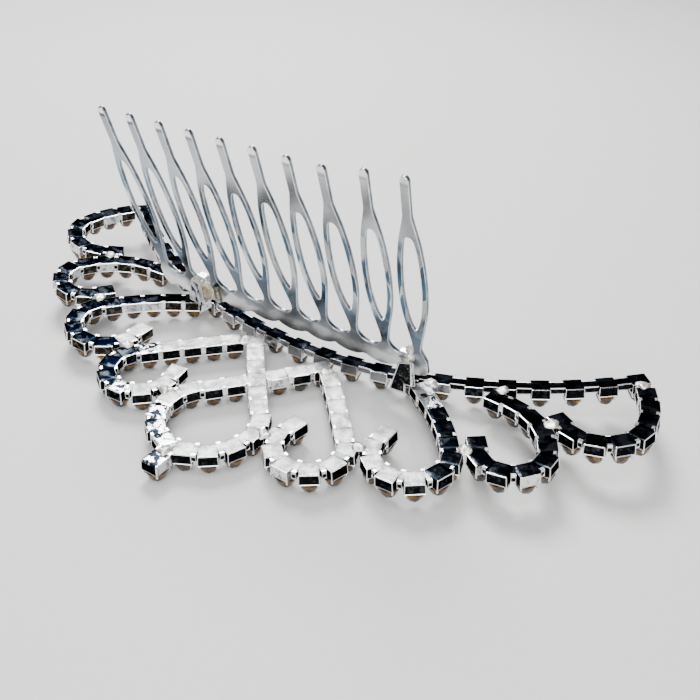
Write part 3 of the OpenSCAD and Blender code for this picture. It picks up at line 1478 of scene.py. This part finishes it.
@dataclass(frozen=True)
class CutStone:
    """A round cut stone lying on its table: table, stars, kites, girdle and pavilion."""

    table_r: float = 0.92
    star_r: float = 1.25
    girdle_r: float = 1.49
    crown_h: float = 1.3
    girdle_t: float = 0.2
    mains_r: float = 0.5
    # How far up the pavilion its main facets meet
    mains_share: float = 0.62
    culet_z: float = 2.88
    sides: int = 8

    def shape(self) -> Shape:
        """Builds the whole stone.

        Returns:
            Its shape, with its table on the ground.
        """
        made, n = Shape(), self.sides
        half = math.pi / n
        # A star's outer corner lies in the plane of the kites beside it
        star_z = (
            (self.star_r * math.cos(half) - self.table_r)
            / (self.girdle_r - self.table_r)
            * self.crown_h
        )
        girdle_high = self.crown_h + self.girdle_t
        mains_z = girdle_high + (self.culet_z - girdle_high) * self.mains_share
        table = made.ring(circle(self.table_r, 0.0, n))
        stars = made.ring(circle(self.star_r, star_z, n, half))
        low = made.ring(circle(self.girdle_r, self.crown_h, 2 * n))
        high = made.ring(circle(self.girdle_r, girdle_high, 2 * n))
        mains = made.ring(circle(self.mains_r, mains_z, n, half))
        culet = made.ring([(0.0, 0.0, self.culet_z)])[0]
        made.face(tuple(reversed(table)), Finish.GLASS)
        for k in range(n):
            after, before = (k + 1) % n, (k - 1) % n
            even, odd, next_even = 2 * k, 2 * k + 1, (2 * k + 2) % (2 * n)
            made.face((table[k], table[after], stars[k]), Finish.GLASS)
            made.face((table[k], stars[k], low[even], stars[before]), Finish.GLASS)
            made.face((stars[k], low[odd], low[even]), Finish.AMBER)
            made.face((stars[k], low[next_even], low[odd]), Finish.AMBER)
            made.face((culet, mains[before], high[even], mains[k]), Finish.FOIL)
            made.face((mains[k], high[even], high[odd]), Finish.FOIL)
            made.face((mains[k], high[odd], high[next_even]), Finish.FOIL)
        made.bridge(low, high, [Finish.AMBER] * (2 * n))
        return made


@dataclass
class StoneRow:
    """The stones of one chain."""

    node: str
    spots: list[Spot]
    spin_deg: float = 6.0

    def build(self) -> bpy.types.Object:
        """Builds the row as one object of separate stones, each turned a little.

        Returns:
            The object, in place of its node.
        """
        dice = random.Random(self.node)
        stone, made = CutStone().shape(), Shape()
        for spot in self.spots:
            turn = math.radians(dice.uniform(-self.spin_deg, self.spin_deg))
            made.add(stone, LAYOUT.on_bow(spot) @ Matrix.Rotation(turn, 4, "Z"))
        piece = made.build(self.node + "_cut", smooth_deg=1.0)
        hand_in(piece, self.node)
        return piece


# Comb


@dataclass(frozen=True)
class HairComb:
    """The stamped comb: a scalloped bar, ten teeth with an oval ring each, and rolled edges."""

    teeth: int = 10
    pitch: float = 5.6
    height: float = 38.0
    bar_low: float = 0.7
    bar_h: float = 4.7
    bar_end: float = 1.5
    scallop_r: float = 4.5
    scallop_lead: float = 1.6
    sheet: float = 0.64
    ring_w: float = 4.6
    ring_gap: float = 3.1
    stem_w: float = 1.2
    finger_w: float = 1.32
    # How it stands: leant back and sloped to one side, in degrees, and where its foot is
    lean: float = 18.0
    slope: float = 0.9
    shift: float = -3.1
    rise: float = 4.45
    edge: float = 0.08
    bend_h: float = 7.0
    # The bar's rounded ends: their radius, and how far above its lower edge they end
    end_r: float = 1.0
    end_rise: float = 1.5
    # Below this height a tooth is at least as wide as its stem, and above it as its finger
    stem_h: float = 20.0
    # How far under its rounded tip the finger is straight
    finger_end: float = 2.0
    # Steps in each valley, each tip and, for each tooth, the bar's lower edge
    valley_steps: int = 12
    tip_steps: int = 8
    bar_steps: int = 10
    # The first valley starts this far in from the bar's end
    end_margin: float = 0.35
    # A polygon whose normal has this much along the sheet's thickness is on a face, or on an edge
    face_from: float = 0.97
    edge_from: float = 0.2
    smooth_deg: float = 35.0
    # How often the outlines' corners are cut to round them, and where each cut is
    cuts: int = 2
    cut: float = 0.25
    # Outline of a tooth: height, and share of half the ring's width
    tooth: tuple[Flat, ...] = (
        (4.0, 0.26),
        (7.0, 0.26),
        (8.0, 0.31),
        (9.6, 0.45),
        (12.5, 0.72),
        (15.4, 0.93),
        (18.0, 0.99),
        (20.5, 1.0),
        (23.0, 0.95),
        (26.0, 0.81),
        (28.0, 0.67),
        (32.3, 0.23),
    )
    # Outline of its opening: height, and share of half the opening's width
    opening: tuple[Flat, ...] = (
        (11.0, 0.05),
        (11.6, 0.3),
        (13.5, 0.65),
        (16.0, 0.9),
        (18.7, 1.0),
        (21.5, 0.97),
        (24.0, 0.87),
        (26.0, 0.73),
        (27.4, 0.58),
        (28.2, 0.36),
        (28.4, 0.12),
    )
    # Teeth that are bent back, counted from the left, with the bend in degrees
    bent: tuple[tuple[int, float], ...] = ((8, 2.5), (9, 3.7))

    def place(self) -> Matrix:
        """Stands the comb's own plane on the crown.

        Returns:
            Its place, in millimetres.
        """
        return (
            Matrix.Translation((self.shift, LAYOUT.middle_up(), self.rise))
            @ Matrix.Rotation(math.radians(-self.slope), 4, "Y")
            @ Matrix.Rotation(math.radians(90 + self.lean), 4, "X")
        )

    def middles(self) -> list[float]:
        """Where the middle of each tooth is, across the comb."""
        return [(t - (self.teeth - 1) / 2) * self.pitch for t in range(self.teeth)]

    def rounded(self, rows: tuple[Flat, ...], width: float) -> list[Flat]:
        """Half widths of an outline whose corners are cut off to make it round.

        Args:
            rows: heights and shares of half the width.
            width: the full width.

        Returns:
            Height and half width, from the bottom up.
        """
        line = [Vector((h, share * width / 2)) for h, share in rows]
        for _ in range(self.cuts):
            rounder = [line[0]]
            for a, b in pairwise(line):
                rounder += [a.lerp(b, self.cut), a.lerp(b, 1 - self.cut)]
            line = rounder + [line[-1]]
        return [(p.x, p.y) for p in line]

    def last_middle(self) -> float:
        """Where the middle of the last tooth on the right is."""
        return (self.teeth - 1) / 2 * self.pitch

    def tooth_side(self) -> list[Flat]:
        """Finds the side of a tooth, from its valleys to the top of its finger.

        Returns:
            Height and half width, from the bottom up.
        """
        valley_h = self.bar_h + (self.pitch - self.stem_w) / 2
        finger = self.finger_w / 2
        ring = [
            (h, max(half, self.stem_w / 2 if h < self.stem_h else finger))
            for h, half in self.rounded(self.tooth, self.ring_w)
            if h > valley_h
        ]
        tip = self.height - finger
        return ring + [(tip - self.finger_end, finger), (tip, finger)]

    def bar_edge(self, across: float) -> float:
        """Finds the bar's scalloped lower edge.

        Args:
            across: a place across the comb.

        Returns:
            Height of the edge there.
        """
        last = self.last_middle()
        first = -last - self.scallop_lead
        near = first + round((across - first) / self.pitch) * self.pitch
        deep = math.sqrt(self.scallop_r**2 - (across - near) ** 2)
        low = self.bar_low + self.scallop_r - deep
        past = abs(across) - (last + self.bar_end - self.end_r)
        if past > 0:
            deep = math.sqrt(max(0.0, self.end_r**2 - past**2))
            low = max(low, self.bar_low + self.end_rise - deep)
        return low

    def outline(self) -> list[Flat]:
        """Draws the comb's outer outline.

        Returns:
            Its points, across and up.
        """
        valley_r = (self.pitch - self.stem_w) / 2
        valley_h = self.bar_h + valley_r
        end = self.last_middle() + self.bar_end
        end_low = self.bar_low + self.end_rise
        side, finger = self.tooth_side(), self.finger_w / 2
        points: list[Flat] = [(-end, end_low), (-end, self.bar_h)]
        for middle in self.middles():
            valley = middle - self.pitch / 2
            for i in range(self.valley_steps):
                turn = math.pi + math.pi * i / self.valley_steps
                across = valley + valley_r * math.cos(turn)
                if across > self.end_margin - end:
                    points.append((across, valley_h + valley_r * math.sin(turn)))
            points += [(middle - half, h) for h, half in side]
            for i in range(1, self.tip_steps):
                turn = math.pi - math.pi * i / self.tip_steps
                points.append(
                    (
                        middle + finger * math.cos(turn),
                        side[-1][0] + finger * math.sin(turn),
                    )
                )
            points += [(middle + half, h) for h, half in reversed(side)]
        points += [(end, self.bar_h), (end, end_low)]
        count = self.bar_steps * self.teeth
        for i in range(1, count):
            across = end - 2 * end * i / count
            points.append((across, self.bar_edge(across)))
        return points

    def ring_hole(self, middle: float) -> list[Flat]:
        """Draws the opening in one tooth, pointed at the bottom and blunt at the top.

        Args:
            middle: where the middle of the tooth is.

        Returns:
            Its points, across and up.
        """
        side = self.rounded(self.opening, self.ring_gap)
        right = [(middle + half, h) for h, half in side]
        return right + [(middle - half, h) for h, half in reversed(side)]

    def bend_back(self, mesh: bpy.types.Mesh) -> None:
        """Bends the last teeth back about a line just above the bar.

        Args:
            mesh: the flat comb, whose points are moved.
        """
        turns = dict(self.bent)
        for vertex in mesh.vertices:
            across, up, out = (c / MM for c in vertex.co)
            tooth = round(across / self.pitch + (self.teeth - 1) / 2)
            if up > self.bend_h and tooth in turns:
                turn = math.radians(-turns[tooth])
                above = up - self.bend_h
                up = self.bend_h + above * math.cos(turn) - out * math.sin(turn)
                out = above * math.sin(turn) + out * math.cos(turn)
                vertex.co = (across * MM, up * MM, out * MM)

    def flat(self) -> bpy.types.Mesh:
        """Cuts the comb from a sheet, with rolled edges, before it is bent and stood up.

        Returns:
            Its mesh, in metres, without materials.
        """
        curve = bpy.data.curves.new("comb_outline", "CURVE")
        curve.dimensions, curve.fill_mode = "2D", "BOTH"
        for loop in [self.outline()] + [self.ring_hole(m) for m in self.middles()]:
            spline = curve.splines.new("POLY")
            spline.points.add(len(loop) - 1)
            for point, (x, y) in zip(spline.points, loop):
                point.co = (x * MM, y * MM, 0, 1)
            spline.use_cyclic_u = True
        curve.extrude = (self.sheet / 2 - self.edge) * MM
        curve.bevel_depth = self.edge * MM
        curve.bevel_resolution = 2
        curve.offset = -self.edge * MM
        source = add_object("comb_outline", curve)
        graph = bpy.context.evaluated_depsgraph_get()
        mesh = bpy.data.meshes.new_from_object(source.evaluated_get(graph))
        bpy.data.objects.remove(source)
        mesh.materials.clear()
        return mesh

    def build(self) -> bpy.types.Object:
        """Builds the comb as one object.

        Returns:
            The object, in place of its node.
        """
        mesh = self.flat()
        for finish in (Finish.COMB_FACE, Finish.COMB_EDGE, Finish.COMB_SIDE):
            mesh.materials.append(dress(finish))
        steep = [abs(p.normal.z) for p in mesh.polygons]
        slots = [0 if z > self.face_from else 1 if z > self.edge_from else 2 for z in steep]
        mesh.polygons.foreach_set("material_index", slots)
        self.bend_back(mesh)
        scale = Matrix.Scale(MM, 4)
        mesh.transform(scale @ self.place() @ scale.inverted())
        mesh.polygons.foreach_set("use_smooth", [True] * len(mesh.polygons))
        mesh.set_sharp_from_angle(angle=math.radians(self.smooth_deg))
        piece = add_object("comb_steel", mesh)
        hand_in(piece, "comb")
        return piece


COMB = HairComb()


# Clips


@dataclass(frozen=True)
class Plate:
    """A flat leaf of clip metal: its outline across and up, where its foot line lies, and its turn."""

    outline: tuple[Flat, ...]
    face: Finish
    across: float = 0.0
    front: float = 0.0
    turn_deg: float = 0.0
    sheet: float = 0.4
    rim: float = 0.1
    # Size of the rounded edge as a share of the rim, how far the face lies in, and the sharpest corner
    edge_share: float = 0.4
    dip: float = 0.03
    sharpest: float = 0.4

    def inset(self, by: float) -> list[Vector]:
        """The outline moved inwards.

        Args:
            by: how far each edge moves.

        Returns:
            The corners of the smaller outline, clockwise seen from the front.
        """
        corners = [Vector(c) for c in self.outline]
        count = len(corners)
        twice_area = sum(
            corners[i].cross(corners[(i + 1) % count]) for i in range(count)
        )
        side = 1 if twice_area > 0 else -1
        moved = []
        for i, here in enumerate(corners):
            into = (here - corners[i - 1]).normalized()
            away = (corners[(i + 1) % count] - here).normalized()
            first = Vector((-into.y, into.x)) * side
            second = Vector((-away.y, away.x)) * side
            middle = (first + second).normalized()
            moved.append(here + middle * by / max(self.sharpest, middle.dot(first)))
        return moved if side < 0 else moved[::-1]

    def add_to(self, shape: Shape) -> None:
        """Adds the leaf with a bright rim round both faces.

        Args:
            shape: what it is added to.
        """
        place = Matrix.Translation((self.across, -self.front, 0)) @ Matrix.Rotation(
            math.radians(self.turn_deg), 4, "Z"
        )
        rim, edge = self.rim, self.rim * self.edge_share
        # How far each ring lies in from the outline, and its depth in the sheet
        rows = [
            (rim + edge, self.dip),
            (rim, 0.0),
            (edge, 0.0),
            (0.0, edge),
            (0.0, self.sheet - edge),
            (edge, self.sheet),
            (rim, self.sheet),
            (rim + edge, self.sheet - self.dip),
        ]
        rings = [
            [tuple(place @ Vector((p.x, deep, p.y))) for p in self.inset(by)]
            for by, deep in rows
        ]
        shape.loft(rings, [Finish.RIM] * len(self.outline), self.face, self.face)


@dataclass(frozen=True)
class Strap:
    """The strip of a clip that goes over the comb's bar and down to its foot behind it."""

    across: float
    width: float = 1.5
    sheet: float = 0.35
    # The bevel at its edges, and how much of the sheet is left there
    bevel: float = 0.08
    edge_share: float = 0.4
    # Centre line: along Y and up
    line: tuple[Flat, ...] = (
        (-2.3, 8.6),
        (-2.28, 9.1),
        (-2.1, 9.42),
        (-1.7, 9.55),
        (-1.0, 9.5),
        (-0.72, 9.2),
        (0.4, 6.6),
        (1.25, 4.7),
        (1.45, 4.1),
        (1.7, 3.85),
        (2.15, 3.82),
    )

    def add_to(self, shape: Shape) -> None:
        """Adds the strip.

        Args:
            shape: what it is added to.
        """
        half, edge = self.width / 2, self.edge_share
        inner = half - self.bevel
        front = [(-half, edge), (-inner, 1.0), (inner, 1.0), (half, edge)]
        corners = front + [(x, -t) for x, t in reversed(front)]
        rings = []
        for (y, z), normal in zip(self.line, normals(self.line)):
            out = normal * self.sheet / 2
            rings.append(
                [(self.across + x, y + out.x * t, z + out.y * t) for x, t in corners]
            )
        rim, face = Finish.RIM, Finish.PALE_WALL
        shape.loft(rings, [rim, face, rim, rim] * 2, rim, rim)


@dataclass(frozen=True)
class Roll:
    """A small rolled tube at the edge of a clip."""

    middle: Point
    radius: float
    length: float
    lean_deg: float
    sides: int = 14
    # The closed foot's size and rise, and the bore's size and depth
    foot_share: float = 0.2
    foot_rise: float = 0.1
    bore_share: float = 0.6
    bore_depth: float = 0.5

    def add_to(self, shape: Shape) -> None:
        """Adds the tube, open at its top.

        Args:
            shape: what it is added to.
        """
        place = Matrix.Translation(self.middle) @ Matrix.Rotation(
            math.radians(self.lean_deg), 4, "Y"
        )
        top = self.length / 2
        rows = [
            (self.foot_share, -top),
            (1.0, -top + self.foot_rise),
            (1.0, top),
            (self.bore_share, top),
            (self.bore_share, top - self.bore_depth),
        ]
        rings = [
            [tuple(place @ Vector(p)) for p in circle(self.radius * share, z, self.sides)]
            for share, z in rows
        ]
        # The bore is painted dark, as painted shade
        shape.loft(rings, [Finish.CLIP_WARM] * self.sides, Finish.RIM, Finish.WALL)


@dataclass(frozen=True)
class CombClip:
    """A folded clip that holds the comb's bar on the base chain."""

    node: str
    across: float
    plates: tuple[Plate, ...]
    straps: tuple[Strap, ...]
    rolls: tuple[Roll, ...] = ()
    # Lumps of solder: across and up the comb, and their size
    lumps: tuple[Point, ...] = ()
    first_seed: float = 0.4
    seed_step: float = 3.1

    def build(self) -> bpy.types.Object:
        """Builds the clip as one object.

        Returns:
            The object, in place of its node.
        """
        made, folded = Shape(), Shape()
        for part in self.plates + self.straps + self.rolls:
            part.add_to(folded)
        made.add(folded, LAYOUT.on_bow(Spot(self.across, 0, 0)))
        for i, (across, up, size) in enumerate(self.lumps):
            place = COMB.place() @ Matrix.Translation((across, up, 0))
            DROPS.lump(made, place, size, self.seed_step * i + self.first_seed)
        piece = made.build(self.node + "_folded", smooth_deg=40.0)
        hand_in(piece, self.node)
        return piece


# Solder


@dataclass(frozen=True)
class SolderDrops:
    """Chilled drops of solder over the joints of the chains."""

    low: float = 3.35
    radius: float = 1.3
    height: float = 0.72
    columns: int = 20
    rows: int = 9
    # The flat at a pole, in radians, and how far the drop at the tip lies back from it
    pole: float = 0.12
    tip_back: float = 1.8
    # How far out the surface lies, and how much coarse and fine lumps change it
    reach: float = 0.82
    coarse: float = 0.34
    fine: float = 0.14
    # Lumps to a radius
    coarse_scale: float = 1.3
    fine_scale: float = 4.1
    first_seed: float = 1.7
    seed_step: float = 7.3

    def spots(self) -> list[Spot]:
        """Finds the joints that the drops lie on.

        Returns:
            Their spots: the right half's, the left half's, and two more.
        """
        half, pitch = LAYOUT.centre_half(), LAYOUT.loop_pitch
        runs = [b.spots(pitch) for b in LAYOUT.loops]
        # Each joint is halfway between a cup of one chain and a cup of the next
        right = [
            half[0].mirrored().to(runs[0][0]),
            half[7].to(runs[0][-2]),
            runs[0][5].to(runs[1][-2]),
            runs[1][4].to(runs[2][-2]),
            runs[2][3].to(runs[3][-1]),
            LAYOUT.base_spot(7).to(runs[2][0]),
            LAYOUT.base_spot(LAYOUT.base_side_cups).to(runs[3][0]),
        ]
        by_clip = LAYOUT.base_spot(5).to(runs[1][0])
        tip = Spot(0, LAYOUT.tip_rise - self.tip_back, 0)
        return right + [s.mirrored() for s in right] + [by_clip, tip]

    def bumpy(self, way: Vector, seed: float) -> float:
        """How far out the surface of a lumpy drop lies, as a share of its radius.

        Args:
            way: the direction from its middle.
            seed: picks its lumps.

        Returns:
            The share, about 0.6 to 1.
        """
        coarse = noise.noise(way * self.coarse_scale + Vector((seed, 0, 0)))
        fine = noise.noise(way * self.fine_scale + Vector((0, seed, 0)))
        return self.reach + self.coarse * coarse + self.fine * fine

    def ball(
        self, shape: Shape, place: Matrix, size: Point, first: float, seed: float
    ) -> None:
        """Adds a lumpy ball, or the upper part of one.

        Args:
            shape: what it is added to.
            place: where its middle is.
            size: its radii along X, Y and Z.
            first: lowest latitude that is built, in radians.
            seed: picks its lumps.
        """
        rings = []
        for row in range(self.rows):
            tilt = first + (math.pi / 2 - self.pole - first) * row / (self.rows - 1)
            ring = []
            for point in circle(math.cos(tilt), math.sin(tilt), self.columns):
                way = Vector(point)
                reach = self.bumpy(way, seed)
                ring.append(
                    tuple(place @ Vector(w * s * reach for w, s in zip(way, size)))
                )
            rings.append(ring)
        tin = Finish.SOLDER
        shape.loft(rings, [tin] * self.columns, tin, tin)

    def lump(self, shape: Shape, place: Matrix, size: float, seed: float) -> None:
        """Adds a whole lumpy ball, whose radius is size."""
        self.ball(shape, place, (size, size, size), -math.pi / 2 + self.pole, seed)

    def build(self) -> bpy.types.Object:
        """Builds all drops as one object.

        Returns:
            The object, in place of its node.
        """
        made = Shape()
        size = (self.radius, self.radius, self.height)
        for i, spot in enumerate(self.spots()):
            place = LAYOUT.on_bow(spot) @ Matrix.Translation((0, 0, self.low))
            self.ball(made, place, size, 0.0, self.seed_step * i + self.first_seed)
        piece = made.build("solder_drops", smooth_deg=60.0)
        hand_in(piece, "solder")
        return piece


DROPS = SolderDrops()

CLIPS = (
    CombClip(
        "clip_right",
        across=19.4,
        plates=(
            Plate(
                (
                    (-1.48, 2.12),
                    (1.28, 2.12),
                    (1.28, 3.85),
                    (2.48, 3.85),
                    (2.3, 8.2),
                    (0.1, 7.6),
                ),
                Finish.CLIP_DARK,
                front=2.5,
                rim=0.14,
            ),
            Plate(
                ((-1.5, 2.1), (1.3, 2.1), (1.3, 2.45), (-1.35, 2.45)),
                Finish.SOLDER,
                front=2.58,
                rim=0.06,
            ),
            Plate(
                ((0.0, 3.9), (0.55, 3.9), (0.2, 8.0), (-0.45, 8.4)),
                Finish.CLIP_GREY,
                across=2.5,
                front=2.42,
                turn_deg=30,
            ),
        ),
        straps=(Strap(across=0.8),),
        lumps=((24.0, 6.35, 0.95), (23.8, 4.9, 1.2), (23.2, 3.8, 1.2)),
    ),
    CombClip(
        "clip_left",
        across=-20.0,
        plates=(
            Plate(
                (
                    (-3.05, 3.9),
                    (-1.05, 3.9),
                    (-1.05, 2.4),
                    (-0.5, 2.1),
                    (0.2, 4.2),
                    (-0.9, 7.7),
                    (-2.7, 8.2),
                ),
                Finish.CLIP_GREY,
                front=2.5,
            ),
            Plate(
                ((-2.72, 8.14), (-0.93, 7.64), (-0.5, 8.6), (0.3, 9.6), (-1.2, 9.7)),
                Finish.SOLDER,
                front=2.52,
            ),
            Plate(
                ((-0.5, 4.4), (1.8, 5.4), (1.9, 7.3), (1.0, 8.7), (-0.4, 8.9)),
                Finish.CLIP_PEARL,
                front=2.45,
                turn_deg=24,
            ),
            Plate(
                ((-0.62, 7.6), (-0.1, 8.7), (0.7, 4.6), (0.3, 4.2)),
                Finish.RIM,
                across=-0.3,
                front=2.72,
                turn_deg=8,
                sheet=0.34,
            ),
            Plate(
                ((-0.1, 2.12), (0.15, 4.0), (1.75, 5.3), (1.9, 3.8)),
                Finish.PALE_WALL,
                across=-0.4,
                front=2.56,
                turn_deg=20,
                rim=0.14,
            ),
        ),
        straps=(Strap(across=-0.4),),
        rolls=(Roll((2.95, -2.0, 7.3), radius=0.66, length=3.0, lean_deg=-10),),
    ),
)


# Studio


@dataclass(frozen=True)
class Softbox:
    """A square area light that faces the crown: size and distance in metres, angles in degrees."""

    name: str
    size: float
    watts: float
    azimuth: float
    elevation: float
    distance: float

    def build(self) -> None:
        """Adds the light."""
        light = bpy.data.lights.new(self.name, "AREA")
        light.shape, light.size, light.energy = "SQUARE", self.size, self.watts
        holder = add_object(self.name, light)
        a, e = math.radians(self.azimuth), math.radians(self.elevation)
        way = Vector(
            (math.sin(a) * math.cos(e), -math.cos(a) * math.cos(e), math.sin(e))
        )
        holder.location = way * self.distance
        holder.rotation_mode = "QUATERNION"
        holder.rotation_quaternion = way.to_track_quat("Z", "Y")
        LOG.info("light %s", self.name)


@dataclass(frozen=True)
class PhotoCamera:
    """The camera of the photograph: place in millimetres from the crown's base, angles in degrees."""

    across: float = 68.05
    up: float = 99.0
    height: float = 83.6
    azimuth: float = 30.85
    elevation: float = 34.3
    roll: float = 2.54
    lens_mm: float = 44.33
    sensor_mm: float = 36.0
    nearest_m: float = 0.005
    farthest_m: float = 20.0

    def build(self) -> None:
        """Adds the camera and makes it the scene's."""
        data = bpy.data.cameras.new("photo_camera")
        data.lens, data.sensor_width = self.lens_mm, self.sensor_mm
        data.clip_start, data.clip_end = self.nearest_m, self.farthest_m
        holder = add_object("photo_camera", data)
        a, e = math.radians(self.azimuth), math.radians(self.elevation)
        roll = math.radians(self.roll)
        ahead = Vector(
            (-math.sin(a) * math.cos(e), math.cos(a) * math.cos(e), -math.sin(e))
        )
        level = Vector((math.cos(a), math.sin(a), 0))
        over = level.cross(ahead)
        right = level * math.cos(roll) + over * math.sin(roll)
        top = right.cross(ahead)
        turned = Matrix((right, top, -ahead)).transposed().to_4x4()
        place = (
            self.across * MM,
            (LAYOUT.middle_up() - self.up) * MM,
            self.height * MM,
        )
        holder.matrix_world = Matrix.Translation(place) @ turned
        bpy.context.scene.camera = holder
        LOG.info("camera set")


@dataclass(frozen=True)
class Studio:
    """Pale floor, soft lights and an even room."""

    floor_m: float = 6.0
    # The floor lies a trace under the stones, so that no two faces share a plane
    floor_drop_m: float = 0.00002
    room: str = "B4B6B9"
    room_strength: float = 0.8
    lights: tuple[Softbox, ...] = (
        Softbox("key_softbox", size=0.16, watts=2.6, azimuth=-139.0, elevation=50.0, distance=0.42),
        Softbox("top_softbox", size=0.60, watts=3.2, azimuth=20.0, elevation=78.0, distance=0.75),
        Softbox("front_softbox", size=0.40, watts=3.2, azimuth=30.0, elevation=32.0, distance=0.60),
    )

    def build(self) -> None:
        """Adds the floor, the lights and the room."""
        half = self.floor_m / 2
        mesh = bpy.data.meshes.new("floor")
        corners = [(-half, -half), (half, -half), (half, half), (-half, half)]
        points = [(x, y, -self.floor_drop_m) for x, y in corners]
        mesh.from_pydata(points, [], [(0, 1, 2, 3)])
        mesh.materials.append(dress(Finish.PAPER))
        floor = add_object("floor", mesh)
        for light in self.lights:
            light.build()
        world = bpy.data.worlds.new("room")
        world.use_nodes = True
        tree = world.node_tree
        tree.nodes.clear()
        air = {"Color": linear(self.room), "Strength": self.room_strength}
        back = add_node(tree, "ShaderNodeBackground", air)
        surface = {"Surface": back.outputs["Background"]}
        add_node(tree, "ShaderNodeOutputWorld", links=surface)
        bpy.context.scene.world = world
        LOG.info("studio built")


# The crown


@dataclass(frozen=True)
class Crown:
    """All pieces of the crown, in the order that they are made."""

    # Cups of the base chain with rolled lines, and of the middle loop with plates that carry patches
    # of painted dark reflection
    knurled: range = range(5, 15)
    pooled: range = range(18, 22)
    # A loop's channels are bright where it turns less than this from cup to cup
    straight_deg: float = 12.0
    # Tones of the plates, cup by cup, on the loops that aren't painted dark all over
    tone_rows: tuple[tuple[int, Side, str], ...] = (
        (1, Side.RIGHT, "ssssssssssss"),
        (1, Side.LEFT, "sssspmmmpsss"),
        (2, Side.RIGHT, "spmmmmmsssss"),
        (2, Side.LEFT, "mmmmmmmmmmss"),
    )

    def tones(self, number: int, side: Side, count: int) -> list[Tone]:
        """Picks the tones of one hooked loop's plates.

        Args:
            number: the loop's number.
            side: the half of the crown that it is on.
            count: how many cups it has.

        Returns:
            One tone for each cup.
        """
        rows = {(n, s): letters for n, s, letters in self.tone_rows}
        plain = Tone.MIRROR.value * count
        return [Tone(letter) for letter in rows.get((number, side), plain)]

    def link_sides(self, spots: list[Spot]) -> list[Finish]:
        """Finishes of the channels' sides between cups: bright on straight runs, painted dark on
        bends.
        """
        turns = [abs(b.heading - a.heading) for a, b in pairwise(spots)]
        return [Finish.RIM if turn < self.straight_deg else Finish.WALL for turn in turns]

    def base_chain(self) -> None:
        """Builds the base chain and its stones."""
        base = LAYOUT.base()
        knurled = [
            Finish.KNURL if i in self.knurled else Finish.WALL for i in range(len(base))
        ]
        CupChain(
            "base_chain",
            base,
            joins(base),
            BASE_CHANNEL,
            [Tone.MIRROR] * len(base),
            knurled,
            knurled[1:],
        ).build()
        StoneRow("base_stones", base).build()

    def centre_loop(self) -> None:
        """Builds the middle loop and its stones."""
        centre = LAYOUT.centre_spots()
        half = self.link_sides(LAYOUT.centre_half())
        CupChain(
            "centre_loop",
            centre,
            LAYOUT.centre_joins(),
            LOOP_CHANNEL,
            [Tone.POOLED if i in self.pooled else Tone.SATIN for i in range(len(centre))],
            [Finish.WALL] * len(centre),
            half + half + [Finish.WALL, Finish.RIM],
        ).build()
        StoneRow("centre_stones", centre).build()

    def hooked_loop(self, number: int, side: Side) -> None:
        """Builds one hooked loop and its stones.

        Args:
            number: 1 next to the middle, 4 outermost.
            side: the half of the crown that it is on.
        """
        spots = LAYOUT.loop(number, side)
        node = f"loop_{number}_{side.value}"
        # The walls of the left outer loops are painted dark with a warm tint, as painted dark
        # reflection
        painted_warm = side is Side.LEFT and number > 1
        wall = Finish.WARM_WALL if painted_warm else Finish.WALL
        CupChain(
            node,
            spots,
            joins(spots),
            LOOP_CHANNEL,
            self.tones(number, side, len(spots)),
            [wall] * len(spots),
            self.link_sides(spots),
        ).build()
        StoneRow(node + "_stones", spots).build()

    def build(self) -> None:
        """Builds every piece."""
        self.base_chain()
        self.centre_loop()
        for number in range(1, len(LAYOUT.loops) + 1):
            for side in Side:
                self.hooked_loop(number, side)
        COMB.build()
        for clip in CLIPS:
            clip.build()
        DROPS.build()


def main() -> None:
    """Builds the studio and the crown."""
    logging.basicConfig(level=logging.INFO, format="%(name)s: %(message)s")
    PhotoCamera().build()
    Studio().build()
    Crown().build()


if __name__ == "__main__":
    main()
